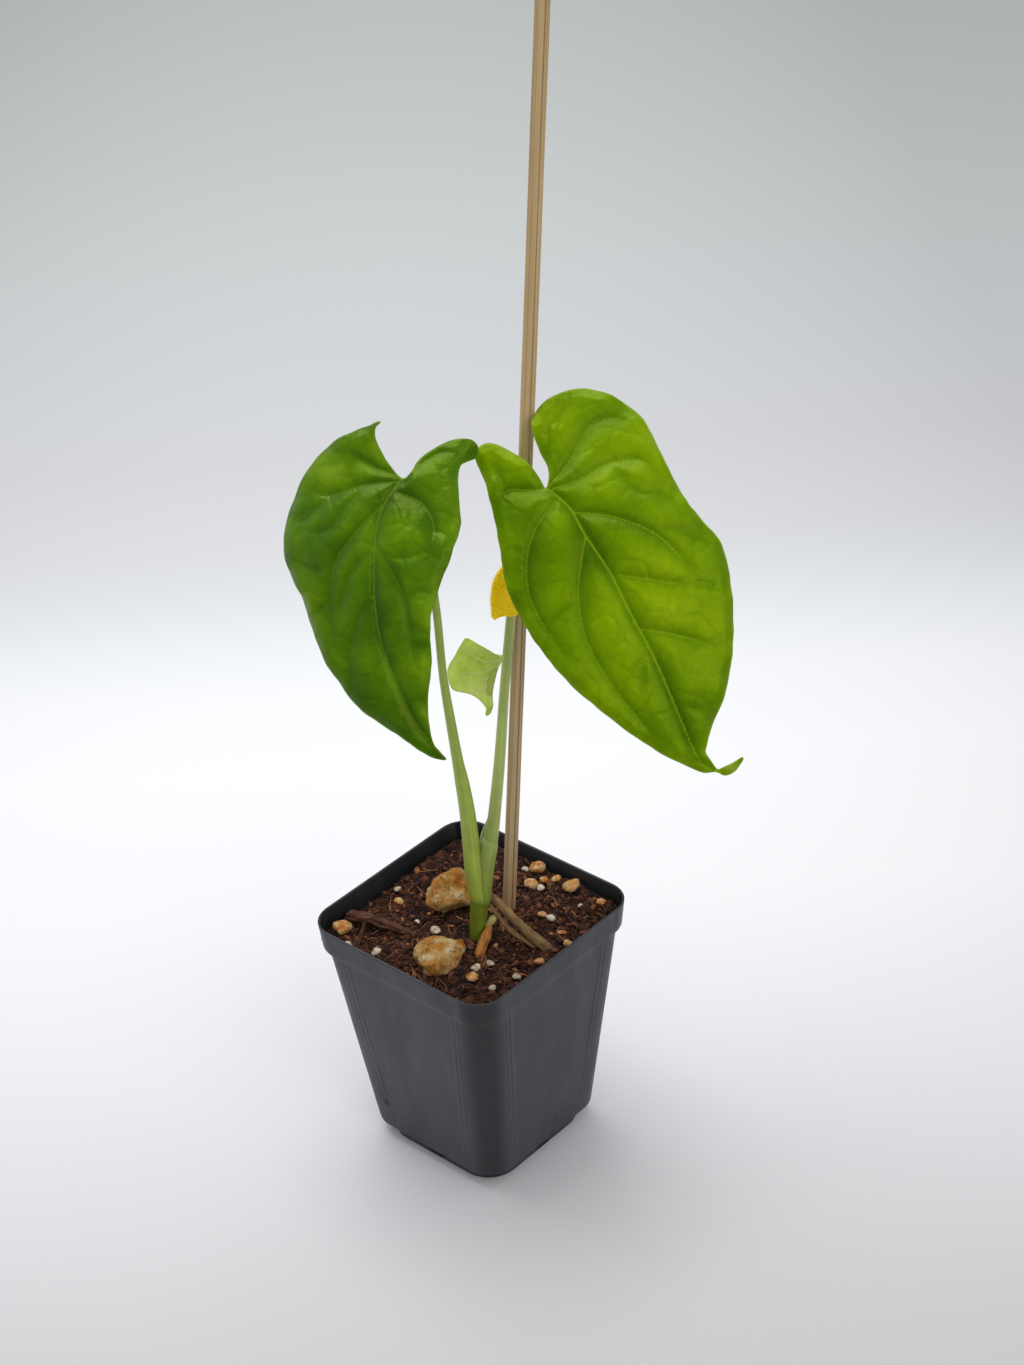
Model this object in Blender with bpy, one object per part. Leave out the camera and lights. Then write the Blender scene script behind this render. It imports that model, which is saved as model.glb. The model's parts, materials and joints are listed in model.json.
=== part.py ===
# Young climbing aroid in a square nursery pot, tied to a bamboo stake.
# Metres, +Z up, origin at the centre of the pot's foot. The plant's front looks along
# +X, -Y. Lists of points are in millimetres and are scaled by MM where they are used.

import math

import bmesh
import bpy
from mathutils import Matrix, Vector, noise
from mathutils.geometry import delaunay_2d_cdt

MM = 0.001
CLEARANCE = 0.0003        # gap between pieces that touch
SHARP_ANGLE = math.radians(40)
UP = Vector((0.0, 0.0, 1.0))
SIDE = Vector((0.731, 0.682, 0.0)).normalized()    # the plant's broad side, left to right

# pot
POT_RIM_WIDTH = 0.089
POT_BASE_WIDTH = 0.0577
POT_HEIGHT = 0.1035
POT_WALL = 0.001
POT_RIM_CORNER = 0.0119
POT_BASE_CORNER = 0.0101
BAND_HEIGHT = 0.0108      # plain band round the rim
BAND_STEP = 0.0015        # how far the band stands out from the wall
BAND_TAPER = 0.0009
BAND_LEDGE = 0.0009
FOOT_HEIGHT = 0.004
FOOT_INSET = 0.0036       # the foot is set in from the wall above it
FOOT_SLOPE = 0.0022
FOOT_FLARE = 0.0003       # the foot widens this much from its base to its top
DRAIN_RADIUS = 0.0036
DRAIN_OFFSET = 0.0155     # drain holes from the centre, along X and Y

# soil
SOIL_DROP = 0.0075        # soil below the rim
SOIL_RISE_BACK = 0.0022   # soil climbs this much towards +Y
SOIL_LUMP = 0.0009
SOIL_LUMP_SPACING = 0.018
HOLLOW_DEPTH = 0.0035
HOLLOW_PLACE = (-0.70, -0.62)
HOLLOW_RADIUS = 0.0075
MOUND_HEIGHT = 0.003
MOUND_PLACE = (-0.92, -0.80)
MOUND_RADIUS = 0.010
REST_GAP = 0.0005         # under what lies on the soil
ROOT_CLEARANCE = 0.00045  # round what stands in the soil
PEBBLE_ROUGHNESS = 0.22
PEBBLE_BUMPS = 2.4        # bumps across a pebble
PEBBLE_UNDERSIDE = 0.45   # flattening of a pebble's underside
GRAIN_HEIGHT_SHARE = 0.9  # of a grain's breadth

# stake
STAKE_LENGTH = 0.457
STAKE_WIDTH = 0.0050
STAKE_DEPTH = 0.0042
STAKE_BURIED = 0.070
STAKE_FOOT = (5.2, 15.1)
STAKE_LEAN = (0.0600, 0.0568)      # travel along X and Y for each unit of height
STAKE_GROOVE = 0.0007

# tie
TIE_HEIGHT = 0.020
TIE_THICKNESS = 0.0013
TIE_ABOVE_SOIL = 0.1345            # lower edge of the strap
TIE_FLAG_LENGTH = 0.0036

# leaves
BLADE_THICKNESS = 0.0005
BLADE_POINT_SPACING = 0.0055
NODE_COLOURS = {
    "pot": (0.030, 0.033, 0.036),
    "soil": (0.075, 0.030, 0.018),
    "bamboo": (0.62, 0.44, 0.25),
    "strap": (0.85, 0.52, 0.01),
    "old_leaf": (0.045, 0.15, 0.004),
    "new_leaf": (0.12, 0.30, 0.005),
    "pale_leaf": (0.38, 0.55, 0.09),
    "stalk": (0.28, 0.38, 0.12),
    "stem": (0.10, 0.17, 0.02),
    "root": (0.33, 0.17, 0.05),
    "bark": (0.16, 0.07, 0.035),
    "grit": (0.62, 0.38, 0.17),
    "perlite": (0.72, 0.66, 0.55),
}

# Clay lumps: place as shares of the soil's half width, then length, breadth and height.
CHUNKS = {
    "clay_chunk_front": ((0.10, -0.55), (0.0200, 0.0150, 0.0115), 0.75, 3),
    "clay_chunk_back": ((-0.41, 0.13), (0.0175, 0.0160, 0.0125), 0.75, 8),
}

# Loose grains: place as shares of the soil's half width, length, breadth, turn, finish.
GRAINS = [
    (-0.860, -0.770, 6.0, 5.2, 0.8, "grit"),
    (-0.200, -0.270, 5.2, 3.8, 0.6, "perlite"),
    (-0.425, -0.260, 2.6, 2.2, 0.0, "perlite"),
    (-0.430, -0.790, 5.2, 3.2, 1.2, "perlite"),
    (-0.700, -0.870, 3.4, 2.8, 0.3, "perlite"),
    (-0.880, -0.030, 4.0, 2.2, 1.4, "perlite"),
    (-0.750, -0.150, 3.0, 2.4, 0.5, "grit"),
    (-0.010, 0.920, 5.6, 4.6, 0.9, "grit"),
    (0.080, 0.700, 4.8, 4.0, 0.2, "grit"),
    (0.190, 0.720, 3.6, 3.0, 1.0, "perlite"),
    (0.410, 0.900, 6.4, 4.4, 2.2, "grit"),
    (0.215, 0.905, 3.2, 2.6, 1.7, "grit"),
    (0.130, 0.830, 3.2, 2.6, 0.4, "grit"),
    (-0.110, 0.850, 3.4, 2.4, 2.4, "perlite"),
    (0.430, 0.450, 2.8, 2.2, 0.7, "grit"),
    (0.530, 0.455, 4.2, 3.0, 0.2, "perlite"),
    (0.640, 0.740, 2.6, 2.0, 1.9, "perlite"),
    (0.760, 0.880, 3.8, 2.4, 0.6, "grit"),
    (0.440, -0.440, 4.2, 3.2, 0.8, "perlite"),
    (0.490, -0.320, 3.8, 3.0, 0.1, "perlite"),
    (0.500, -0.560, 3.8, 3.2, 1.1, "grit"),
    (0.720, -0.550, 3.4, 2.9, 0.5, "perlite"),
    (0.800, -0.320, 3.2, 2.9, 0.9, "perlite"),
    (0.830, -0.050, 3.4, 2.4, 2.0, "grit"),
    (0.880, 0.270, 2.8, 2.3, 0.3, "grit"),
]

# Routes, in millimetres: x, y, height above the soil's level, radius.
STEM = [(5.9, -3.8, -24, 2.2), (6.1, -3.6, -4, 3.1), (6.6, -3.1, 8, 3.2), (7.4, -2.4, 17.4, 3.3)]
LEFT_STALK = [
    (6.0, -3.5, 40.8, 3.0), (5.7, -4.2, 57.7, 2.85), (5.1, -5.2, 71.3, 2.6),
    (4.6, -6.0, 80.3, 2.0), (3.8, -7.4, 98.9, 1.7), (3.2, -8.7, 117.6, 1.45),
    (2.5, -8.6, 140.1, 1.4), (0.8, -8.1, 157.0, 1.4), (-1.6, -7.0, 172.0, 1.4),
    (-4.6, -6.2, 186.0, 1.5), (-4.6, -9.6, 196.0, 1.7),
]
RIGHT_STALK = [
    (10.6, 1.7, 40.8, 2.6), (11.3, 3.7, 51.1, 2.3), (12.2, 8.0, 75.8, 2.0),
    (12.7, 12.5, 104.8, 1.7), (13.9, 17.0, 133.7, 1.7), (14.6, 18.1, 143.7, 1.7),
    (17.1, 18.9, 158.0, 1.7), (21.6, 20.4, 174.0, 1.7), (28.4, 22.8, 188.0, 1.8),
    (32.6, 20.2, 193.6, 1.9),
]
YOUNG_STALK = [
    (5.8, 3.3, 40.8, 1.3), (9.2, 8.6, 56.4, 1.2), (8.0, 12.9, 71.4, 1.2),
    (5.1, 18.4, 84.9, 1.1), (2.6, 22.9, 94.6, 1.0), (0.2, 26.9, 102.5, 0.9),
]
PROP_ROOT = [(10.7, 1.9, 15.5, 1.6), (16.0, 2.6, 11.6, 1.8), (20.2, 3.2, 8.5, 1.9),
             (26.1, 4.6, 3.8, 2.0), (31.2, 5.9, 0.0, 1.9), (33.6, 6.6, -2.2, 1.5)]
YOUNG_ROOT = [(11.6, -3.6, 4.5, 1.4), (11.8, -5.2, 2.9, 1.8), (12.2, -7.6, 1.0, 2.0),
              (12.8, -10.0, -0.8, 1.9), (13.4, -11.8, -2.6, 1.6)]
BUD = [(10.9, -1.7, 6.9, 1.0), (11.4, -1.0, 7.8, 1.4), (12.0, -0.2, 8.7, 1.1), (12.5, 0.4, 9.5, 0.4)]

# Sheath round the stalks' feet: x, y, height, half width, half depth.
SHEATH = [(7.4, -2.4, 17.8, 3.4, 3.3), (7.6, -2.1, 26.0, 4.5, 3.9), (7.8, -1.4, 34.2, 5.6, 4.7),
          (7.9, -0.8, 40.4, 6.7, 5.2)]

# Bark: place as shares of the soil's half width, height of the centre line, radius.
BARK_STICK = [(-0.93, -0.66, 1.6, 1.3), (-0.86, -0.50, 1.6, 1.9), (-0.64, -0.45, 1.7, 2.2),
              (-0.42, -0.43, 1.6, 1.9), (-0.27, -0.42, 1.3, 1.1)]
BARK_TWIG = [(-0.74, -0.60, 1.0, 0.7), (-0.70, -0.70, 0.9, 0.8), (-0.63, -0.79, 0.9, 0.6)]

# Leaf blades. foot: x, y, height above the soil. heading and tilt give the way that the
# face looks, in degrees. Outlines run clockwise from the notch, across and up, in the
# blade's own plane. arch and droop bend it out of that plane.
LEFT_LEAF = {
    "foot": (-0.7, -17.1, 199.4), "heading": -61.0, "tilt": 32.0,
    "arch": 8.0, "droop": 5.5, "half_width": 30.0, "tip": (21.7, -93.8),
    "outline": [
        (0, 0), (3, 2.3), (5.2, 6.8), (9.5, 10.6), (18.4, 14.8), (23.6, 12.9), (23.4, 8),
        (20, 3), (20.6, -4.8), (22.1, -14.5), (20.6, -24.5), (16.8, -37), (15.3, -48),
        (15.8, -62), (15.2, -77), (17.6, -89), (21.7, -93.8), (16, -93), (5.5, -87),
        (-9.4, -78.2), (-21, -65.5), (-29.4, -51), (-35, -39.5), (-40.6, -30.5), (-42.4, -20),
        (-40.2, -8), (-34.2, 3.8), (-27.4, 10.6), (-18.2, 15.4), (-11.6, 17.4), (-9.9, 12),
        (-5.4, 4.6),
    ],
}
RIGHT_LEAF = {
    "foot": (36.0, 14.4, 193.2), "heading": -47.0, "tilt": 32.5,
    "arch": 8.0, "droop": 5.0, "half_width": 38.0, "tip": (53.0, -99.5),
    "outline": [
        (0, 0), (1.1, 6.4), (-2, 14.8), (-3.4, 23), (0.8, 29.1), (8.5, 33.1), (18, 33.2),
        (27.2, 28.8), (34.6, 21.6), (40.5, 7.7), (47.5, -8), (57.9, -22.6), (60.3, -39),
        (59.7, -56), (56.5, -71.5), (50.3, -84.8), (48.2, -92.5), (51.2, -97.7),
        (55.7, -97.7), (60.9, -95.3), (58.3, -98.9), (54.5, -100.3), (44.8, -98.4),
        (28.7, -88.9), (12, -74.8), (0.5, -62.7), (-10.3, -45.5), (-15.6, -31.5),
        (-17.4, -14), (-20.5, 3.3), (-23.4, 12.8), (-19.6, 16.8), (-13.6, 15.1),
        (-6.4, 9.6), (-2.2, 4.2),
    ],
}
YOUNG_LEAF = {
    "foot": (-1.1, 26.4, 105.8), "heading": -39.0, "tilt": 15.0,
    "arch": -2.0, "droop": -2.5, "half_width": 15.0, "tip": (-6.6, -18.5),
    "outline": [
        (0, 0), (-1.7, -5.5), (-5.5, -12), (-5.8, -17.5), (-7, -20), (-9.2, -16.6),
        (-13.2, -11.9), (-19.2, -9.2), (-20.1, -1.6), (-16.5, 5), (-12.7, 9.8), (-6, 5.2),
    ],
}

soil_level = POT_HEIGHT - SOIL_DROP


def clear_scene():
    for obj in list(bpy.data.objects):
        bpy.data.objects.remove(obj, do_unlink=True)


def finish(name):
    """Material of one finish, made once."""
    if name in bpy.data.materials:
        return bpy.data.materials[name]
    material = bpy.data.materials.new(name)
    material.use_nodes = True
    shader = material.node_tree.nodes["Principled BSDF"]
    shader.inputs["Base Color"].default_value = (*NODE_COLOURS[name], 1.0)
    shader.inputs["Roughness"].default_value = 0.45 if name in ("pot", "old_leaf", "new_leaf") else 0.8
    shader.inputs["Metallic"].default_value = 0.0
    return material


def add_object(name, bm, finish_name, smooth=True):
    mesh = bpy.data.meshes.new(name)
    bmesh.ops.recalc_face_normals(bm, faces=bm.faces)
    bm.to_mesh(mesh)
    bm.free()
    if smooth:
        mesh.shade_smooth()
        mesh.set_sharp_from_angle(angle=SHARP_ANGLE)
    obj = bpy.data.objects.new(name, mesh)
    bpy.context.scene.collection.objects.link(obj)
    mesh.materials.append(finish(finish_name))
    return obj


def cut(target, cutter):
    """Take cutter away from target."""
    cutter.hide_render = True
    cutter.display_type = "WIRE"
    step = target.modifiers.new("cut_" + cutter.name, "BOOLEAN")
    step.operation = "DIFFERENCE"
    step.solver = "EXACT"
    step.object = cutter


# ---- closed forms made of rings ----

def join_rings(bm, rings):
    """Skin a list of rings of points, closed at both ends."""
    loops = [[bm.verts.new(point) for point in ring] for ring in rings]
    for lower, upper in zip(loops, loops[1:]):
        count = len(lower)
        for i in range(count):
            after = (i + 1) % count
            bm.faces.new((lower[i], lower[after], upper[after], upper[i]))
    bm.faces.new(list(reversed(loops[0])))
    bm.faces.new(loops[-1])
    return loops


def rounded_square(half, corner, z, corner_steps=6, side_steps=1):
    """Ring of points round a square with round corners."""
    points = []
    for quarter in range(4):
        turn = math.radians(90 * quarter)
        centre = Vector((half - corner, half - corner, 0))
        for step in range(corner_steps + 1):
            angle = math.radians(90) * step / corner_steps
            points.append(Matrix.Rotation(turn, 3, "Z") @ (
                centre + corner * Vector((math.cos(angle), math.sin(angle), 0))))
        for step in range(1, side_steps):
            along = (half - corner) * (1 - 2 * step / side_steps)
            points.append(Matrix.Rotation(turn, 3, "Z") @ Vector((along, half, 0)))
    return [Vector((p.x, p.y, z)) for p in points]


def smooth_route(points, per_span=4):
    """Points and radii on a smooth curve through (x, y, z, radius) rows."""
    rows = [Vector(row) for row in points]
    rows = [rows[0] * 2 - rows[1]] + rows + [rows[-1] * 2 - rows[-2]]
    route = []
    for a, b, c, d in zip(rows, rows[1:], rows[2:], rows[3:]):
        for step in range(per_span):
            t = step / per_span
            route.append(0.5 * (2 * b + (c - a) * t + (2 * a - 5 * b + 4 * c - d) * t ** 2
                                + (3 * b - a - 3 * c + d) * t ** 3))
    route.append(rows[-2])
    return route


def tube_rings(route, sides, grow=0.0, level_ends=()):
    """Round sections along a route, each turned as little as possible from the last.
    The ends named in level_ends, 0 or -1, are cut level."""
    centres = [Vector(row[:3]) for row in route]
    rings = []
    across = None
    for i, row in enumerate(route):
        ahead = centres[min(i + 1, len(centres) - 1)] - centres[max(i - 1, 0)]
        ahead.normalize()
        if (i == 0 and 0 in level_ends) or (i == len(route) - 1 and -1 in level_ends):
            ahead = UP
        if across is None:
            across = ahead.orthogonal().normalized()
        across = (across - ahead * across.dot(ahead)).normalized()
        other = ahead.cross(across)
        radius = row[3] + grow
        rings.append([
            centres[i] + radius * (across * math.cos(a) + other * math.sin(a))
            for a in (2 * math.pi * k / sides for k in range(sides))
        ])
    return rings


def plant_route(points, per_span=4):
    """A route given in millimetres above the soil, in metres."""
    rows = [(x * MM, y * MM, soil_level + h * MM, r * MM) for x, y, h, r in points]
    return smooth_route(rows, per_span)


def add_tube(name, route, finish_name, sides=8, grow=0.0, level_ends=()):
    bm = bmesh.new()
    join_rings(bm, tube_rings(route, sides, grow, level_ends))
    return add_object(name, bm, finish_name)


# ---- pot ----

def pot_profile():
    """Half width of the pot's outside and its corner radius, from the foot up."""
    base = POT_BASE_WIDTH / 2
    rim = POT_RIM_WIDTH / 2
    band_bottom = POT_HEIGHT - BAND_HEIGHT
    rows = [
        (0.0, base),
        (FOOT_HEIGHT, base + FOOT_FLARE),
        (FOOT_HEIGHT + FOOT_SLOPE, base + FOOT_INSET),
        (band_bottom - BAND_LEDGE, rim - BAND_TAPER - BAND_STEP),
        (band_bottom, rim - BAND_TAPER),
        (POT_HEIGHT, rim),
    ]
    corners = [POT_BASE_CORNER + (POT_RIM_CORNER - POT_BASE_CORNER) * z / POT_HEIGHT for z, _ in rows]
    return [(z, half, corner) for (z, half), corner in zip(rows, corners)]


def inside_at(z):
    """Half width and corner radius of the pot's inside at a height."""
    rows = pot_profile()
    for (z0, half0, corner0), (z1, half1, corner1) in zip(rows, rows[1:]):
        if z0 <= z <= z1:
            share = (z - z0) / (z1 - z0)
            half = half0 + (half1 - half0) * share
            corner = corner0 + (corner1 - corner0) * share
            return half - POT_WALL, corner - POT_WALL
    return rows[-1][1] - POT_WALL, rows[-1][2] - POT_WALL


def build_pot():
    bm = bmesh.new()
    outside = [rounded_square(half, corner, z) for z, half, corner in pot_profile()]
    inside = []
    for z, half, corner in reversed(pot_profile()):
        floor_z = max(z, POT_WALL)
        inside.append(rounded_square(half - POT_WALL, corner - POT_WALL, floor_z))
    join_rings(bm, outside + inside)
    pot = add_object("pot", bm, "pot", smooth=False)
    for sx in (-1, 1):
        for sy in (-1, 1):
            centre = Vector((sx * DRAIN_OFFSET, sy * DRAIN_OFFSET, 0))
            route = [(centre.x, centre.y, z, DRAIN_RADIUS) for z in (-2 * POT_WALL, 3 * POT_WALL)]
            cutter = add_tube(f"drain_cutter_{sx}_{sy}", [Vector(r) for r in route], "pot", sides=12)
            cut(pot, cutter)
    return pot


# ---- soil ----

soil_half = inside_at(soil_level)[0] - CLEARANCE


def soil_top(x, y):
    """Height of the soil's surface."""
    spot = Vector((x, y, 0))
    lump = SOIL_LUMP * noise.noise(spot / SOIL_LUMP_SPACING)
    hollow = Vector((HOLLOW_PLACE[0] * soil_half, HOLLOW_PLACE[1] * soil_half, 0))
    dip = HOLLOW_DEPTH * math.exp(-((spot - hollow).length / HOLLOW_RADIUS) ** 2)
    mound = Vector((MOUND_PLACE[0] * soil_half, MOUND_PLACE[1] * soil_half, 0))
    heap = MOUND_HEIGHT * math.exp(-((spot - mound).length / MOUND_RADIUS) ** 2)
    return soil_level + SOIL_RISE_BACK * y / soil_half + lump - dip + heap


def soil_rings(half, corner):
    """The soil's surface as rings, from its edge to near the middle."""
    rings = []
    for share in [1 - k / 9 for k in range(9)]:
        ring = rounded_square((half - CLEARANCE) * share, (corner - CLEARANCE) * share, 0, 4, 7)
        rings.append([Vector((p.x, p.y, soil_top(p.x, p.y))) for p in ring])
    return rings


def build_soil():
    bm = bmesh.new()
    ledge_z = POT_HEIGHT - BAND_HEIGHT - BAND_LEDGE
    band_z = POT_HEIGHT - BAND_HEIGHT + CLEARANCE
    top = soil_rings(*inside_at(soil_level))
    if min(p.z for p in top[0]) <= band_z:
        top = soil_rings(*inside_at(ledge_z))   # low soil keeps to the wall under the band
    edge_low = min(p.z for p in top[0])
    rings = []
    floor = POT_WALL + CLEARANCE
    for z in (floor, FOOT_HEIGHT, FOOT_HEIGHT + FOOT_SLOPE + CLEARANCE, ledge_z, band_z):
        if z < edge_low - CLEARANCE:
            half, corner = inside_at(z)
            rings.append(rounded_square(half - CLEARANCE, corner - CLEARANCE, z, 4, 7))
    join_rings(bm, rings + top)
    bmesh.ops.triangulate(bm, faces=bm.faces[:])
    return add_object("soil", bm, "soil", smooth=False)


def soil_spot(place):
    """A place on the soil from shares of its half width."""
    return Vector((place[0] * soil_half, place[1] * soil_half, 0))


# ---- stake and tie ----

def stake_centre(height):
    """Centre of the stake at a height above the soil's level."""
    return Vector((STAKE_FOOT[0] * MM + STAKE_LEAN[0] * height,
                   STAKE_FOOT[1] * MM + STAKE_LEAN[1] * height, soil_level + height))


def stake_ring(height, grow=0.0):
    """Split-cane section: flat back, crowned front with a groove down the middle."""
    across = SIDE
    forward = SIDE.cross(UP)
    w = STAKE_WIDTH / 2 + grow
    d = STAKE_DEPTH / 2 + grow
    groove = 0.0 if grow else STAKE_GROOVE
    outline = [(-w, -d * 0.55), (-w * 0.72, -d), (w * 0.72, -d), (w, -d * 0.55), (w, d * 0.45),
               (w * 0.62, d * 0.9), (w * 0.22, d), (0, d - groove), (-w * 0.22, d),
               (-w * 0.62, d * 0.9), (-w, d * 0.45)]
    return [stake_centre(height) + across * a + forward * b for a, b in outline]


def stake_span():
    slope = math.sqrt(1 + STAKE_LEAN[0] ** 2 + STAKE_LEAN[1] ** 2)
    return -STAKE_BURIED / slope, (STAKE_LENGTH - STAKE_BURIED) / slope


def build_stake():
    bottom, top = stake_span()
    bm = bmesh.new()
    join_rings(bm, [stake_ring(bottom + (top - bottom) * k / 6) for k in range(7)])
    return add_object("stake", bm, "bamboo")


def stalk_at(points, height):
    """Centre and radius of a stalk at a height above the soil's level."""
    route = plant_route(points)
    target = soil_level + height
    for low, high in zip(route, route[1:]):
        if low.z <= target <= high.z:
            return low.lerp(high, (target - low.z) / (high.z - low.z))
    return route[-1]


def tie_ring(height, grow):
    """Loop of the strap round the stake and the right stalk, with the pressed flag."""
    stalk = stalk_at(RIGHT_STALK, height)
    stake = stake_centre(height)
    centres = [(Vector((stake.x, stake.y, 0)), math.hypot(STAKE_WIDTH, STAKE_DEPTH) / 2),
               (Vector((stalk.x, stalk.y, 0)), stalk.w)]
    points = []
    for k in range(24):
        angle = 2 * math.pi * k / 24
        ray = SIDE * math.cos(angle) + SIDE.cross(UP) * math.sin(angle)
        far = max((centre.dot(ray) + radius, centre, radius) for centre, radius in centres)
        points.append(far[1] + ray * (far[2] + CLEARANCE + grow))
    return [Vector((p.x, p.y, soil_level + height)) for p in points]


def build_tie():
    bm = bmesh.new()
    heights = [TIE_ABOVE_SOIL + TIE_HEIGHT * k / 3 for k in range(4)]
    outer = [[bm.verts.new(p) for p in tie_ring(h, TIE_THICKNESS)] for h in heights]
    inner = [[bm.verts.new(p) for p in tie_ring(h, 0.0)] for h in heights]
    count = len(outer[0])
    for i in range(count):
        after = (i + 1) % count
        for low, high in zip(outer, outer[1:]):
            bm.faces.new((low[i], low[after], high[after], high[i]))
        for low, high in zip(inner, inner[1:]):
            bm.faces.new((low[after], low[i], high[i], high[after]))
        bm.faces.new((outer[0][after], outer[0][i], inner[0][i], inner[0][after]))
        bm.faces.new((outer[-1][i], outer[-1][after], inner[-1][after], inner[-1][i]))
    # the strap's two ends, pressed together, stand out at the left
    left = count // 2
    panels = [f for f in bm.faces if all(
        any(v in ring[left - 1:left + 1] for ring in outer) for v in f.verts)]
    grown = bmesh.ops.extrude_face_region(bm, geom=panels)
    moved = [v for v in grown["geom"] if isinstance(v, bmesh.types.BMVert)]
    bmesh.ops.delete(bm, geom=panels, context="FACES")
    for vert in moved:
        vert.co -= SIDE * TIE_FLAG_LENGTH
    return add_object("tie", bm, "strap", smooth=False)


# ---- leaf blades ----

def blade_axes(leaf):
    """Right, up and face directions of a blade."""
    heading = math.radians(leaf["heading"])
    tilt = math.radians(leaf["tilt"])
    face = Vector((math.cos(heading) * math.cos(tilt), math.sin(heading) * math.cos(tilt),
                   math.sin(tilt)))
    right = UP.cross(face).normalized()
    return right, face.cross(right), face


def blade_rise(leaf, x, y):
    """How far the blade stands out of its plane, in millimetres."""
    tip = Vector(leaf["tip"])
    length = tip.length
    along = (x * tip.x + y * tip.y) / length ** 2
    aside = (x * tip.y - y * tip.x) / length
    if along > 0:
        arch = 4 * leaf["arch"] * along * (1 - along)
    else:
        arch = 4 * leaf["arch"] * along * math.exp(2.5 * along)
    return arch - leaf["droop"] * (aside / leaf["half_width"]) ** 2


def smooth_outline(points, per_span=3):
    """Closed smooth curve through an outline's points."""
    count = len(points)
    curve = []
    for i in range(count):
        a, b, c, d = (Vector(points[(i + k) % count]) for k in (-1, 0, 1, 2))
        for step in range(per_span):
            t = step / per_span
            curve.append(0.5 * (2 * b + (c - a) * t + (2 * a - 5 * b + 4 * c - d) * t ** 2
                                + (3 * b - a - 3 * c + d) * t ** 3))
    return curve


def inside_points(outline, spacing):
    """Evenly spread points inside an outline, clear of its edge."""
    xs = [p.x for p in outline]
    ys = [p.y for p in outline]
    points = []
    row = 0
    y = min(ys)
    while y < max(ys):
        x = min(xs) + (spacing / 2 if row % 2 else 0)
        while x < max(xs):
            spot = Vector((x, y))
            crossings = 0
            nearest = 1e9
            for p, q in zip(outline, outline[1:] + outline[:1]):
                if (p.y > y) != (q.y > y) and x < p.x + (y - p.y) * (q.x - p.x) / (q.y - p.y):
                    crossings += 1
                nearest = min(nearest, (spot - p).length)
            if crossings % 2 and nearest > spacing * 0.5:
                points.append(spot)
            x += spacing
        y += spacing * math.sqrt(3) / 2
        row += 1
    return points


def add_blade(name, leaf, finish_name, per_span=2):
    outline = smooth_outline(leaf["outline"], per_span)
    spots = outline + inside_points(outline, BLADE_POINT_SPACING / MM)
    edge = [(i, (i + 1) % len(outline)) for i in range(len(outline))]
    flat, _, faces, *_ = delaunay_2d_cdt(spots, edge, [list(range(len(outline)))], 1, 1e-5)
    foot = Vector(leaf["foot"]) * MM + Vector((0, 0, soil_level))
    right, up, face = blade_axes(leaf)
    bm = bmesh.new()
    sheets = []
    for side in (1, -1):
        sheet = []
        for spot in flat:
            rise = blade_rise(leaf, spot.x, spot.y) * MM + side * BLADE_THICKNESS / 2
            sheet.append(bm.verts.new(foot + right * spot.x * MM + up * spot.y * MM + face * rise))
        sheets.append(sheet)
    uses = {}
    for tri in faces:
        bm.faces.new([sheets[0][i] for i in tri])
        bm.faces.new([sheets[1][i] for i in reversed(tri)])
        for a, b in zip(tri, tri[1:] + tri[:1]):
            uses[(a, b)] = uses.get((a, b), 0) + 1
    for a, b in uses:
        if (b, a) not in uses:
            bm.faces.new((sheets[0][b], sheets[0][a], sheets[1][a], sheets[1][b]))
    return add_object(name, bm, finish_name)


# ---- sheath, chunks and grains ----

def build_sheath():
    depth = SIDE.cross(UP)
    rows = smooth_route([(x * MM, y * MM, soil_level + h * MM, w * MM) for x, y, h, w, _ in SHEATH])
    ratio = [d / w for *_, w, d in SHEATH]
    rings = []
    for i, row in enumerate(rows):
        squash = ratio[0] + (ratio[-1] - ratio[0]) * i / (len(rows) - 1)
        centre = Vector(row[:3])
        rings.append([centre + row.w * (SIDE * math.cos(a) + depth * squash * math.sin(a))
                      for a in (2 * math.pi * k / 14 for k in range(14))])
    bm = bmesh.new()
    join_rings(bm, rings)
    return add_object("sheath", bm, "stalk")


def add_pebble(name, place, size, turn, seed, finish_name, detail):
    """A rough lump with a flattened underside, lying on the soil."""
    bm = bmesh.new()
    bmesh.ops.create_icosphere(bm, subdivisions=detail, radius=0.5)
    spin = Matrix.Rotation(turn, 3, "Z")
    middle = soil_spot(place)
    for vert in bm.verts:
        rough = 1 + PEBBLE_ROUGHNESS * noise.noise(vert.co * PEBBLE_BUMPS + seed * UP)
        co = vert.co * rough
        if co.z < 0:
            co.z *= PEBBLE_UNDERSIDE
        vert.co = spin @ Vector((co.x * size[0], co.y * size[1], co.z * size[2])) + middle
    lift = max(soil_top(v.co.x, v.co.y) - v.co.z for v in bm.verts) + REST_GAP
    for vert in bm.verts:
        vert.co.z += lift
    return add_object(name, bm, finish_name)


def add_bark(name, rows, sides):
    """A strip of bark lying on the soil."""
    route = []
    for fx, fy, height, radius in rows:
        spot = soil_spot((fx, fy))
        level = soil_level + SOIL_RISE_BACK * fy + SOIL_LUMP
        route.append((spot.x, spot.y, level + (height + radius) * MM, radius * MM))
    return add_tube(name, smooth_route(route, 3), "bark", sides)


# ---- the whole plant ----

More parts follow.
